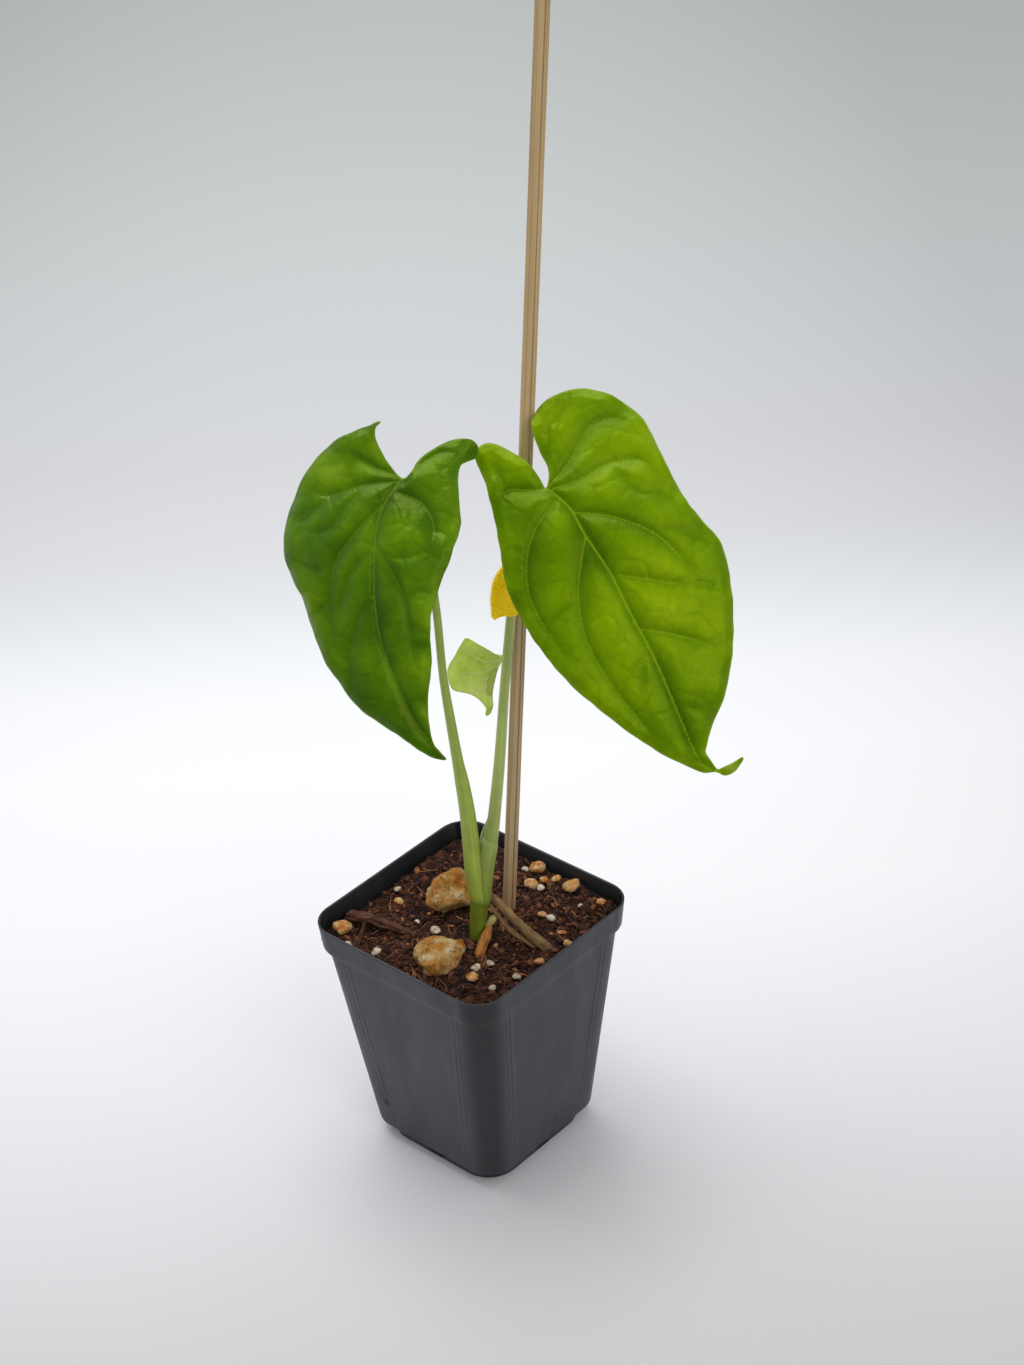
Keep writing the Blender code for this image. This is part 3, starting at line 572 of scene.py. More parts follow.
def bladeFields(leaf, spots, outline):
    # how near each spot is to the veins and the margin
    fields = {key: np.zeros(len(spots)) for key in ("vein", "groove")}
    clear = np.full(len(spots), 1e9)
    for points, startWidth, endWidth, strength in leaf["veins"]:
        curve = evenly(smoothCurve(points), 0.4)
        gap, index = nearestOn(spots, curve)
        share = index / (len(curve) - 1)
        fade = strength * np.clip((1 - share) * 4, 0, 1) if strength < 1 else np.ones(len(share))
        width = 0.8 * (startWidth + (endWidth - startWidth) * share)
        fields["vein"] = np.maximum(fields["vein"], fade * np.exp(-(gap / width) ** 2))
        fields["groove"] = np.maximum(fields["groove"], fade * np.exp(-(gap / (width * 2.2 + 0.7)) ** 2))
        clear = np.minimum(clear, gap + (1 - fade) * leaf["quiltReach"])
    fields["panel"] = 1 - np.exp(-clear / leaf["quiltReach"])
    margin, around = nearestOn(spots, outline)
    # painted light, shade and sheen spots from the leaf's shades list
    fields["shade"] = sum(tone * np.exp(-((spots[:, 0] - x) ** 2 + (spots[:, 1] - y) ** 2) / reach ** 2)
                          for x, y, reach, tone in leaf["shades"])
    fields["margin"] = margin
    fields["around"] = around / len(outline)
    cells = []
    for x, y in spots:
        nearest = noise.voronoi(Vector((x / leaf["crossSize"], y / leaf["crossSize"], leaf["seed"])))[0]
        cells.append(nearest[1] - nearest[0])
    fields["net"] = np.exp(-(np.array(cells) / 0.10) ** 2)
    return fields


def foldBack(leaf, points, foot, axes):
    # turns what lies beyond the fold line round behind the rest, about a small radius
    (startX, startY), (endX, endY) = leaf["fold"]["line"]
    local = (points - foot) @ np.array(axes).T / mm
    way = np.array((endX - startX, endY - startY))
    way = way / np.linalg.norm(way)
    beyond = np.array((-way[1], way[0]))
    offset = local[:, :2] - np.array((startX, startY))
    past = offset @ beyond
    limit = math.radians(leaf["fold"]["angle"])
    radius = leaf["fold"]["round"]
    turned = np.clip(past / radius, 0, limit)
    straight = np.maximum(past - radius * limit, 0)
    outer = radius + local[:, 2]
    sideways = np.where(past > 0, outer * np.sin(turned) + straight * np.cos(turned), past)
    depth = np.where(past > 0, outer * np.cos(turned) - radius - straight * np.sin(turned), local[:, 2])
    flat = np.array((startX, startY)) + (offset @ way)[:, None] * way + sideways[:, None] * beyond
    return foot + np.column_stack([flat, depth]) * mm @ np.array(axes)


def addBlade(name, nodeName, leaf, spacing, material):
    outline = evenly(smoothCurve(leaf["outline"], 8, closed=True), spacing, closed=True)
    way = np.roll(outline, -1, axis=0) - np.roll(outline, 1, axis=0)
    outward = np.stack([-way[:, 1], way[:, 0]], axis=1) / np.linalg.norm(way, axis=1)[:, None]
    ragged = noiseAt(np.column_stack([outline, np.full(len(outline), leaf["seed"])]), 4.5)
    outline = outline + outward * (leaf["ragged"] * ragged)[:, None]
    ribs = np.vstack([evenly(smoothCurve(points), spacing * 0.7) for points, *_ in leaf["veins"]])
    ribs = ribs[insideOutline(ribs, outline)]
    ribs = ribs[nearestOn(ribs, outline)[0] > spacing * 0.4]
    inner = gridInside(outline, spacing)
    inner = inner[nearestOn(inner, ribs)[0] > spacing * 0.55]
    spots, faces = meshInside(outline, np.vstack([outline, ribs, inner]))
    fields = bladeFields(leaf, spots, outline)

    soft = np.clip(fields["margin"] / 3, 0, 1)
    relief = leaf["quilt"] * fields["panel"] * (0.35 + 0.65 * soft)
    relief += leaf["ridge"] * fields["vein"] - leaf["groove"] * fields["groove"]
    relief -= leaf["crossDepth"] * fields["net"] * fields["panel"] * soft
    lumps = noiseAt(np.column_stack([spots, np.zeros(len(spots))]), 13.0, leaf["seed"])
    relief += 0.35 * lumps
    perimeter = len(outline) * spacing
    ripple = np.sin(2 * np.pi * fields["around"] * round(perimeter / leaf["waveLength"]) + 2.5 * lumps)
    relief += leaf["wave"] * ripple * np.exp(-fields["margin"] / 5)
    rise = bladeRise(leaf, spots[:, 0], spots[:, 1]) + relief

    right, upward, face = bladeAxes(leaf)
    foot = np.array(leaf["foot"]) * mm + soilPlane
    flatPoints = foot + spots[:, :1] * mm * right + spots[:, 1:] * mm * upward
    under = leaf["thickness"] * np.clip(0.35 + fields["margin"] / 1.2, 0, 1)
    under = under + leaf["midribUnder"] * fields["vein"] ** 2 + 0.25 * fields["groove"]
    top = flatPoints + (rise * mm)[:, None] * face
    bottom = flatPoints + ((rise - under) * mm)[:, None] * face
    if "fold" in leaf:
        top, bottom = (foldBack(leaf, points, foot, (right, upward, face)) for points in (top, bottom))
    count = len(spots)
    edges = dict.fromkeys(pair for tri in faces for pair in zip(tri, tri[1:] + tri[:1]))
    faces += [tuple(i + count for i in reversed(f)) for f in faces]
    faces += [(b, a, a + count, b + count) for a, b in edges if (b, a) not in edges]
    traits = {key: np.tile(fields[key], 2) for key in ("vein", "groove", "panel", "margin", "net", "shade")}
    traits["underside"] = np.concatenate([np.zeros(count), np.ones(count)])
    addPiece(name, np.vstack([top, bottom]), faces, material, [nodeName], traits=traits)


def leafMaterial(name, look):
    material, tree = newMaterial(name, {"Roughness": look["roughness"],
        "Specular IOR Level": look["specular"], "Specular Tint": (0.82, 1.0, look["sheenBlue"], 1.0),
        "Subsurface Weight": look["glow"], "Subsurface Radius": (0.6, 1.0, 0.15),
        "Subsurface Scale": 0.0012})
    where = place(tree)
    broad = noiseNode(where, look["patches"], 2.0)
    broad = plus(times(broad, look["patchTone"]), 0.5 - 0.5 * look["patchTone"])
    fine = noiseNode(where, 420.0, 5.0)
    # painted light and shade: the raised middles of the panels are painted lighter and the blade beside the
    # veins darker, and the shade spots add painted light, shade and sheen
    tone = times(maths("SUBTRACT", trait(tree, "panel"), 0.55), look["panelLightShade"])
    tone = plus(plus(tone, broad), times(trait(tree, "shade"), 0.13))
    # the palest colour is reached by the painted sheen spots and by the right leaf's pale tip
    colour = ramp(tone, [(0.33, look["dark"]), (0.5, look["middle"]),
                               (0.72, look["bright"]), (1.0, look["palest"])])
    cells = cellsNode(where, 900.0)
    colour = mottled(0.22, colour, fine, (0.3, 0.55), (0.7, 1.35))
    # painted shade: the grooves beside the veins are darkened
    colour = mix(times(trait(tree, "groove"), look["grooveShade"]), colour, look["dark"])
    # painted shade on the open leaves: the fine net creases are darkened; on the young leaf the net is a
    # paler vein colour
    colour = mix(times(trait(tree, "net"), look["netTone"]), colour, look["netColour"])
    line = maths("SMOOTH_MAX", maths("SUBTRACT", trait(tree, "vein"), 0.28), 0.0, 0.1)
    colour = mix(times(line, look["veinTone"]), colour, look["vein"])
    rim = span(trait(tree, "margin"), 0.75, 0.2)
    patchy = ramp(noiseNode(where, 120.0, 2.0), [(0.42, look["edge"]), (0.6, look["edgeBrown"])])
    colour = mix(times(rim, look["edgeTone"]), colour, patchy)
    below = trait(tree, "underside")
    colour = mix(times(below, 0.8), colour, look["under"])
    rough = span(noiseNode(where, 60.0, 3.0), 0.3, 0.7, look["roughness"] - 0.08, look["roughness"] + 0.1)
    rough = plus(rough, times(below, 0.2))
    height = plus(times(fine, 0.6), times(cells, 0.7))
    return painted(material, colour, height, 0.00009, 0.8, rough)


leftLook = {
    "dark": srgb(32, 70, 0), "middle": srgb(56, 98, 0), "bright": srgb(92, 128, 0),
    "palest": srgb(128, 160, 40), "vein": srgb(104, 142, 24), "edge": srgb(112, 150, 36),
    "edgeBrown": srgb(96, 116, 26), "under": srgb(92, 134, 40),
    "roughness": 0.29, "specular": 0.5, "glow": 0.08, "sheenBlue": 0.12,
    "panelLightShade": 0.22, "grooveShade": 0.15, "veinTone": 0.66, "netTone": 0.14, "edgeTone": 0.4,
    "patches": 46.0, "patchTone": 0.8, "netColour": srgb(24, 58, 0),
}
rightLook = {
    "dark": srgb(54, 90, 0), "middle": srgb(86, 122, 0), "bright": srgb(122, 151, 0),
    "palest": srgb(186, 200, 84), "vein": srgb(142, 176, 20), "edge": srgb(146, 176, 30),
    "edgeBrown": srgb(120, 136, 24), "under": srgb(150, 176, 56),
    "roughness": 0.30, "specular": 0.45, "glow": 0.08, "sheenBlue": 0.06,
    "panelLightShade": 0.24, "grooveShade": 0.14, "veinTone": 0.8, "netTone": 0.13, "edgeTone": 0.5,
    "patches": 34.0, "patchTone": 0.55, "netColour": srgb(44, 80, 0),
}
bladeSpacing = 0.75      # mm between the points of a blade's mesh
addBlade("leftBlade", "left_leaf", leftLeaf, bladeSpacing, leafMaterial("leafDark", leftLook))
addBlade("rightBlade", "right_leaf", rightLeaf, bladeSpacing, leafMaterial("leafBright", rightLook))
print("stage: the two open leaves")

# young leaf: folded along its midrib, which runs down its right edge

youngLeaf = {
    "foot": (-1.1, 26.4, 105.8), "heading": -39.0, "tilt": 15.0,
    "arch": -2.0, "droop": -2.5, "halfWidth": 15.0, "tip": (-6.6, -18.5),
    "outline": [
        (0, 0), (2.5, -0.6), (6.2, -2.6), (8.0, -7), (6.5, -12), (1.5, -16), (-3.6, -17.6), (-5.2, -19.2),
        (-6.2, -20.8), (-7.6, -21.4), (-8.0, -20.4), (-7.6, -18.6), (-9.6, -15.4), (-13.6, -12.2),
        (-19.2, -9.2), (-20.4, -1.8), (-16.9, 4.2), (-13.6, 9.2), (-12.7, 9.8), (-11.4, 9.2), (-6, 5.0),
    ],
    "fold": {"line": ((0.4, 1.0), (-6.0, -19.5)), "angle": 158.0, "round": 0.9},
    "veins": [
        ([(0, 0), (-1.7, -5.5), (-4.6, -12), (-5.8, -18.5)], 0.8, 0.4, 1.0),
        ([(-0.6, -1.2), (-6, -1.0), (-12, 3.5), (-15, 5)], 0.6, 0.3, 0.85),
        ([(-1.0, -3.4), (-8, -5.2), (-14, -3.5), (-18.5, -3.5)], 0.6, 0.3, 0.85),
        ([(-2.4, -7), (-9, -8.6), (-13.5, -8.5), (-17, -9)], 0.6, 0.3, 0.9),
        ([(-3.8, -10.4), (-9, -12.2), (-11, -13.5)], 0.5, 0.3, 0.8),
        ([(0, 0.6), (-5, 2.8), (-9, 6.2)], 0.5, 0.3, 0.7),
    ],
    "quilt": 0.55, "quiltReach": 2.4, "groove": -0.2, "ridge": 0.3, "crossSize": 4.5, "crossDepth": 0.08,
    "wave": 0.35, "waveLength": 9.0, "ragged": 0.18, "seed": 8.0, "thickness": 0.35, "midribUnder": 0.6,
    "swells": [(-18, -4, 6, 1.8), (-11, 9, 4, -1.0)], "shades": [(-12, 4, 5, 0.6), (-7, -21, 2.5, -2.0)],
}
youngLook = {
    "dark": srgb(186, 212, 74), "middle": srgb(208, 228, 100), "bright": srgb(224, 238, 132),
    "palest": srgb(236, 244, 170), "vein": srgb(244, 248, 206), "edge": srgb(178, 200, 120),
    "edgeBrown": srgb(150, 178, 96), "under": srgb(176, 196, 96), "roughness": 0.52,
    "specular": 0.4, "glow": 0.2,
    "panelLightShade": 0.2, "grooveShade": 0.0, "veinTone": 1.0, "netTone": 0.2, "edgeTone": 0.5,
    "patches": 60.0, "patchTone": 1.0, "netColour": srgb(226, 234, 176), "sheenBlue": 0.8,
}
addBlade("youngBlade", "young_leaf", youngLeaf, 0.5, leafMaterial("leafPale", youngLook))
print("stage: the young leaf")


# stem, sheath, stalks, bud and roots

stalks = {
    "stem": [(6.0, -3.7, -6, 3.2), (6.2, -3.5, 2, 3.2), (6.6, -3.1, 9, 3.3), (7.2, -2.6, 15.2, 3.5),
             (7.5, -2.3, 16.7, 3.85), (7.6, -2.2, 17.5, 3.8), (7.6, -2.2, 18.1, 3.3)],
    "left": [(7.3, -2.5, 17.2, 3.1), (7.0, -2.9, 20, 3.5), (6.7, -3.1, 24, 3.5), (6.2, -3.5, 33, 3.45),
             (6.0, -3.6, 40.8, 3.2), (5.7, -4.2, 57.7, 2.85), (5.1, -5.2, 71.3, 2.5),
             (4.6, -6.0, 80.3, 2.05), (3.8, -7.4, 98.9, 1.75), (3.2, -8.7, 117.6, 1.5),
             (2.5, -8.6, 140.1, 1.45), (0.8, -8.1, 157.0, 1.4), (-1.6, -7.0, 172.0, 1.4),
             (-4.6, -6.2, 184.0, 1.5), (-4.8, -9.4, 191.4, 1.6), (-3.0, -13.4, 195.2, 1.4),
             (-1.1, -16.3, 197.3, 1.0)],
    "sheath": [(8.0, -1.7, 17.2, 3.1), (8.6, -1.0, 25, 3.2), (9.4, 0.1, 33, 3.2), (10.2, 1.2, 39.4, 3.15),
               (10.45, 1.5, 41.6, 2.95)],
    "right": [(10.3, 1.3, 37, 2.2), (10.8, 2.2, 43.5, 2.6), (11.3, 3.7, 51.1, 2.35),
              (12.2, 8.0, 75.8, 2.05), (12.7, 12.5, 104.8, 1.8), (13.9, 17.0, 133.7, 1.75),
              (14.6, 18.1, 143.7, 1.7), (17.1, 18.9, 158.0, 1.7), (21.6, 20.4, 174.0, 1.7),
              (28.0, 22.8, 182.0, 1.8), (31.8, 20.8, 186.8, 1.8), (34.2, 17.8, 189.2, 1.4),
              (35.6, 15.4, 191.2, 1.0)],
    "young": [(7.2, 1.0, 33, 1.1), (5.8, 3.3, 40.8, 1.3), (9.2, 8.6, 56.4, 1.2), (8.0, 12.9, 71.4, 1.2),
              (5.1, 18.4, 84.9, 1.1), (2.6, 22.9, 94.6, 1.0), (0.0, 26.9, 102.8, 0.9),
              (-1.2, 26.9, 105.6, 0.6)],
    "bud": [(10.2, -2.6, 5.6, 0.8), (10.9, -1.7, 6.9, 1.3), (11.4, -1.0, 7.9, 1.55),
            (12.0, -0.2, 8.9, 1.25), (12.6, 0.5, 9.8, 0.5)],
    "sides": 28, "ribs": 9, "ribDepth": 0.022,
}


def ribbed(share, angles):
    return 1 + stalks["ribDepth"] * np.cos(stalks["ribs"] * angles + 2.0 * share)


def clasping(share, angles):
    # the sheath's front: a shallow channel that opens towards its top
    return 1 + 0.02 * np.cos(7 * angles) + 0.05 * share * np.cos(2 * angles)


def stalkMaterial(name, low, high, specks):
    # low and high are the colours at the foot and higher up
    material, tree = newMaterial(name, {"Roughness": 0.42, "Specular IOR Level": 0.45,
        "Subsurface Weight": 0.15, "Subsurface Radius": (0.8, 1.0, 0.3), "Subsurface Scale": 0.001})
    grain = trait(tree, "grain", "Vector")
    height = heightNode(tree)
    climb = span(height, soilLevel + 0.012, soilLevel + 0.085)
    colour = mix(climb, low, high)
    streak = noiseNode(place(tree, (0.9, 0.9, 0.035), grain), 1.0, 4.0)
    colour = mottled(0.5, colour, streak, (0.3, 0.62), (0.7, 1.3))
    blotch = noiseNode(place(tree), 160.0, 3.0)
    colour = mottled(0.25, colour, blotch, (0.35, 0.7), (0.65, 1.2))
    if specks:
        spots = cellsNode(place(tree), 420.0)
        chosen = noiseNode(place(tree), 95.0, 2.0)
        dot = times(maths("LESS_THAN", spots, 0.24),
                    maths("GREATER_THAN", chosen, 0.62))
        near = span(height, soilLevel + 0.062, soilLevel + 0.045)
        colour = mix(times(dot, near), colour, srgb(62, 74, 20))
    return painted(material, colour, plus(streak, times(blotch, 0.5)), 0.00012, 0.7)


leftGreen = stalkMaterial("stalkLeftGreen", srgb(154, 168, 62), srgb(158, 178, 74), True)
rightGreen = stalkMaterial("stalkRightGreen", srgb(120, 136, 46), srgb(180, 194, 110), False)
stemGreen = stalkMaterial("stemGreen", srgb(108, 124, 30), srgb(130, 150, 50), False)
budGreen = stalkMaterial("budGreen", srgb(178, 172, 100), srgb(190, 186, 116), False)
sides = stalks["sides"]
addTube("stemPiece", plantRoute(stalks["stem"], 0.7), stemGreen, "stem", sides, ribbed)
addTube("leftStalk", plantRoute(stalks["left"]), leftGreen, "left_stalk", sides, ribbed)
addTube("sheathPiece", plantRoute(stalks["sheath"], 0.7), rightGreen, "sheath", sides,
        clasping)
addTube("rightStalk", plantRoute(stalks["right"]), rightGreen, "right_stalk", sides, ribbed)
addTube("youngStalk", plantRoute(stalks["young"]), rightGreen, "young_stalk", 20, ribbed)
addTube("budPiece", plantRoute(stalks["bud"], 0.3), budGreen, "bud", 20)

roots = {
    "prop": [(9.6, 0.9, 17.0, 1.2), (11.5, 2.0, 15.2, 1.6), (16.0, 2.6, 11.8, 1.7),
             (20.2, 3.2, 8.6, 1.75), (26.1, 4.6, 4.0, 2.0), (31.2, 5.9, 0.6, 2.1),
             (34.2, 6.8, -2.6, 1.6)],
    "strand": [(10.2, -0.2, 14.0, 0.7), (14.0, 0.4, 9.4, 0.95), (18.5, 1.2, 5.0, 1.0),
               (24.0, 3.0, 1.6, 0.9), (28.0, 4.2, -0.8, 0.7)],
    "young": [(11.4, -3.0, 5.2, 1.45), (11.8, -5.2, 3.2, 1.9), (12.2, -7.6, 1.2, 2.05),
              (12.8, -10.0, -0.8, 1.9), (13.4, -11.8, -3.0, 1.6)],
    "rough": 0.11, "bumps": 2.6,
}


def rootPiece(name, route, material, nodes, seed):
    route = roundEnds(route)
    rings = tubeRings(route, 24)
    points = rings.reshape(-1, 3)
    centre = np.repeat(route[:, :3], 24, axis=0)
    wobble = 1 + roots["rough"] * noiseAt(points / mm, roots["bumps"], seed)
    wobble = wobble + 0.07 * noiseAt(points / mm, 0.7, seed + 3)
    points = centre + (points - centre) * wobble[:, None]
    return addPiece(name, points, skinRings(rings), material, nodes,
                    traits={"grain": grainOf(rings, route, 24)})


def rootMaterial(name, dark, light):
    material, tree = newMaterial(name, {"Roughness": 0.75})
    grain = trait(tree, "grain", "Vector")
    streak = noiseNode(place(tree, (1.2, 1.2, 0.22), grain), 1.0, 5.0, 0.65)
    blotch = noiseNode(place(tree), 260.0, 4.0)
    both = blend(streak, blotch, 0.4)
    colour = ramp(both, [(0.36, dark), (0.62, light)])
    return painted(material, colour, both, 0.0004, 0.9)


propSkin = rootMaterial("rootTan", srgb(78, 54, 30), srgb(146, 112, 66))
youngSkin = rootMaterial("rootOrange", srgb(116, 68, 18), srgb(190, 124, 44))
rootPiece("propRoot", plantRoute(roots["prop"], 0.5), propSkin, ["prop_root"], 1.0)
rootPiece("propStrand", plantRoute(roots["strand"], 0.5), propSkin, [], 4.0)
rootPiece("youngRoot", plantRoute(roots["young"], 0.4), youngSkin, ["young_root"], 2.0)
print("stage: stem, stalks and roots")


# bamboo stake

stake = {
    "foot": (5.2, 15.1), "lean": (0.0600, 0.0568), "halfWidth": 2.5, "halfDepth": 2.1,
    "sides": 72, "rings": 170, "squareness": 0.55, "fibre": 0.07, "lip": 0.35,
    "grooves": [(0.35, 0.55, 0.16), (0.95, 0.35, 0.12), (-1.3, 0.12, 0.2)],
}


def stakeAt(height):
    return np.array([at + slope * height for at, slope in zip(stake["foot"], stake["lean"])])


def addStake():
    low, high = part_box("stake")
    bottom, top = (low.z - soilLevel) / mm + 1, (high.z - soilLevel) / mm
    angles = 2 * np.pi * np.arange(stake["sides"]) / stake["sides"]
    power = stake["squareness"]
    across = stake["halfWidth"] * np.sign(np.cos(angles)) * np.abs(np.cos(angles)) ** power
    depth = stake["halfDepth"] * np.sign(np.sin(angles)) * np.abs(np.sin(angles)) ** power
    dip = np.zeros(len(angles))
    for at, deep, wide in stake["grooves"]:
        dip += np.where(depth > 0, deep * np.exp(-((across - at) / wide) ** 2), 0)
    depth = depth - dip
    lean = np.array((*stake["lean"], 1.0)) / math.hypot(*stake["lean"], 1.0)
    rings, grain = [], []
    # both ends are a little narrower than the cane, with a worn edge
    levels = [(height, 1.0) for height in np.linspace(bottom, top, stake["rings"])]
    levels = [(bottom, 0.8), *levels, (top, 0.86)]
    for height, shrink in levels:
        centre = np.array((*stakeAt(height), height))
        cells = np.column_stack([across, depth, np.full(len(angles), height / 45)])
        swell = 1 + stake["fibre"] * noiseAt(cells, 0.8, 3.0) * 0.5
        lip = stake["lip"] if shrink < 1 else 0
        ring = centre + (across * swell * shrink)[:, None] * broadSide
        ring += (depth * swell * shrink)[:, None] * front
        rings.append(ring + lean * (lip if height > 0 else -lip))
        grain.append(np.column_stack([across, depth, np.full(len(angles), height)]))
    points = np.vstack(rings) * mm + soilPlane
    traits = {"grain": np.vstack(grain), "groove": np.tile(np.clip(dip / 0.4, 0, 1), len(rings))}
    addPiece("bambooStake", points, skinRings(rings), bambooMaterial(), ["stake"], traits=traits)


def bambooMaterial():
    material, tree = newMaterial("bambooCane", {"Roughness": 0.55, "Specular IOR Level": 0.4})
    grain = trait(tree, "grain", "Vector")
    fine = noiseNode(place(tree, (3.2, 3.2, 0.012), grain), 1.0, 6.0, 0.7)
    broad = noiseNode(place(tree, (0.7, 0.7, 0.006), grain), 1.0, 3.0)
    both = blend(fine, broad, 0.45)
    upper = ramp(both, [(0.34, srgb(146, 112, 68)), (0.5, srgb(192, 162, 114)),
                        (0.66, srgb(218, 192, 148))])
    lower = ramp(both, [(0.34, srgb(146, 116, 84)), (0.5, srgb(192, 162, 124)),
                        (0.66, srgb(220, 194, 156))])
    height = heightNode(tree)
    climb = span(height, soilLevel + 0.12, soilLevel + 0.20)
    colour = mix(climb, lower, upper)
    soaked = span(height, soilLevel + 0.035, soilLevel - 0.002)
    colour = mix(times(soaked, 0.55), colour, srgb(150, 118, 78))
    line = times(trait(tree, "groove"), 0.85)
    colour = mix(line, colour, srgb(104, 74, 40))
    return painted(material, colour, fine, 0.0002, 0.8)


addStake()
print("stage: stake")


# strap: a soft hook-and-loop band round the stake and the right stalk

strap = {
    "thickness": 1.3, "flagLength": 4.4, "flagHalf": 1.5, "around": 210, "rows": 84,
    "weave": 0.85, "weaveDepth": 0.13, "tabDrop": 2.4,
    "flagByHeight": [(0.0, 0.84), (0.25, 1.0), (0.6, 1.0), (0.8, 0.8), (1.0, 0.35)],
    "hairs": 1300, "hairLength": (0.5, 1.5), "hairRadius": 0.035,
}


def strapPoint(angles, height, grow, stalkRoute):
    # a taut loop: the furthest of the two round supports in each direction
    nearest = np.abs(stalkRoute[:, 2] - (soilLevel + height * mm)).argmin()
    held = [(stakeAt(height), math.hypot(stake["halfWidth"], stake["halfDepth"]) * 0.93),
            (stalkRoute[nearest, :2] / mm, stalkRoute[nearest, 3] / mm)]
    rays = np.cos(angles)[:, None] * broadSide[:2] + np.sin(angles)[:, None] * front[:2]
    reach = np.array([rays @ centre + radius for centre, radius in held])
    which = reach.argmax(axis=0)
    centres = np.array([held[k][0] for k in which])
    radii = np.array([held[k][1] for k in which])
    return centres + rays * (radii + 0.3 + grow)[:, None]


def addStrap():
    low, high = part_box("tie")
    bottom, top = (low.z - soilLevel) / mm, (high.z - soilLevel) / mm
    stalkRoute = plantRoute(stalks["right"])
    angles = 2 * np.pi * np.arange(strap["around"]) / strap["around"]
    sideWay, frontWay = broadSide[:2], front[:2]
    sheets = []
    for grow, woven in ((strap["thickness"], True), (0.0, False)):
        sheet = []
        for row in range(strap["rows"]):
            share = row / (strap["rows"] - 1)
            height = bottom + (top - bottom) * share
            edge = min(share, 1 - share) * (top - bottom)
            soft = grow * math.sqrt(max(0.08, min(1.0, edge / 1.0)))
            flat = strapPoint(angles, height, soft, stalkRoute)
            z = np.full(len(flat), height)
            if woven:
                around = np.concatenate([[0], np.cumsum(np.linalg.norm(np.diff(flat, axis=0), axis=1))])
                knots = (np.sin(2 * np.pi * around / strap["weave"])
                         * np.sin(2 * np.pi * height / strap["weave"]))
                flat = flat + (strap["weaveDepth"] * knots)[:, None] * np.column_stack(
                    [np.cos(angles), np.sin(angles)]) @ np.array((sideWay, frontWay))
                # the two ends, pressed together, stand out at the left
                forward = flat @ frontWay
                forward = forward - forward[(flat @ sideWay).argmin()]
                leftness = np.clip(-np.cos(angles) * 1.6, 0, 1)
                reach = np.interp(share, *zip(*strap["flagByHeight"])) * strap["flagLength"]
                flag = leftness * np.exp(-(forward / strap["flagHalf"]) ** 4)
                flat = flat - (flag * reach)[:, None] * sideWay
                tab = strap["tabDrop"] * flag * max(0.0, 1 - share / 0.3)
                z = z - tab * np.exp(-((forward + 0.2) / 1.1) ** 2)
            sheet.append(np.column_stack([flat, z]))
        sheets.append(np.array(sheet))
    outer, inner = sheets
    count, rows = strap["around"], strap["rows"]
    points = np.vstack([outer.reshape(-1, 3), inner.reshape(-1, 3)]) * mm + soilPlane
    faces = []
    shift = count * rows
    for k in range(count):
        after = (k + 1) % count
        for row in range(rows - 1):
            a, b = row * count, (row + 1) * count
            faces.append((a + k, a + after, b + after, b + k))
            faces.append((shift + a + after, shift + a + k, shift + b + k, shift + b + after))
        last = (rows - 1) * count
        faces.append((after, k, shift + k, shift + after))
        faces.append((last + k, last + after, shift + last + after, shift + last + k))
    band = addPiece("strapBand", points, faces, strapMaterial(), ["tie"])
    return band, outer * mm + soilPlane


def strapMaterial():
    material, tree = newMaterial("strapYellow", {"Roughness": 0.9, "Specular IOR Level": 0.15,
        "Sheen Weight": 0.4, "Sheen Roughness": 0.5, "Emission Strength": 0.16})
    where = place(tree)
    knots = cellsNode(where, 1300.0)
    soft = noiseNode(where, 180.0, 4.0)
    colour = ramp(blend(knots, soft, 0.4),
                  [(0.25, srgb(255, 230, 24)), (0.55, srgb(255, 214, 8)), (0.85, srgb(240, 184, 0))])
    # painted light: the band glows a little in its own colour, so that it stays bright in the shade under the
    # leaf
    tree.links.new(colour, tree.nodes["Principled BSDF"].inputs["Emission Color"])
    return painted(material, colour, times(knots, -1.0), 0.0003, 0.9)


def addHairs(name, starts, ways, lengths, radius, material, seed):
    # tapered bent fibres, each a three-sided spike
    chance = np.random.default_rng(seed)
    points, faces = [], []
    for root, way, length in zip(starts, ways, lengths):
        way = way / np.linalg.norm(way)
        aside = np.cross(way, chance.normal(size=3))
        aside /= np.linalg.norm(aside)
        other = np.cross(way, aside)
        bend = aside * chance.uniform(-0.5, 0.5) + other * chance.uniform(-0.5, 0.5)
        start = len(points)
        for share, thick in ((0, 1.0), (0.5, 0.8)):
            centre = root + way * length * share + bend * length * share ** 2
            for k in range(3):
                angle = 2 * math.pi * k / 3
                points.append(centre + radius * thick * (aside * math.cos(angle) + other * math.sin(angle)))
        points.append(root + way * length + bend * length)
        faces.append((start + 2, start + 1, start))
        for k in range(3):
            after = (k + 1) % 3
            faces.append((start + k, start + after, start + 3 + after, start + 3 + k))
            faces.append((start + 3 + k, start + 3 + after, start + 6))
    return addPiece(name, points, faces, material)


strapBand, strapSkin = addStrap()
strapChance = np.random.default_rng(31)
rowPick = strapChance.integers(0, strap["rows"], strap["hairs"])
aroundPick = strapChance.integers(0, strap["around"], strap["hairs"])
hairRoots = strapSkin[rowPick, aroundPick]
pickAngles = 2 * np.pi * aroundPick / strap["around"]
hairWays = np.cos(pickAngles)[:, None] * broadSide + np.sin(pickAngles)[:, None] * front
hairWays = hairWays + strapChance.normal(scale=0.45, size=hairWays.shape)
hairLengths = strapChance.uniform(*strap["hairLength"], strap["hairs"]) * mm
addHairs("strapFuzz", hairRoots, hairWays, hairLengths, strap["hairRadius"] * mm,
         strapBand.data.materials[0], 5)
# a short length of tape, wrapped round the stake and the stalk and pressed onto itself
print("stage: strap")


# pot

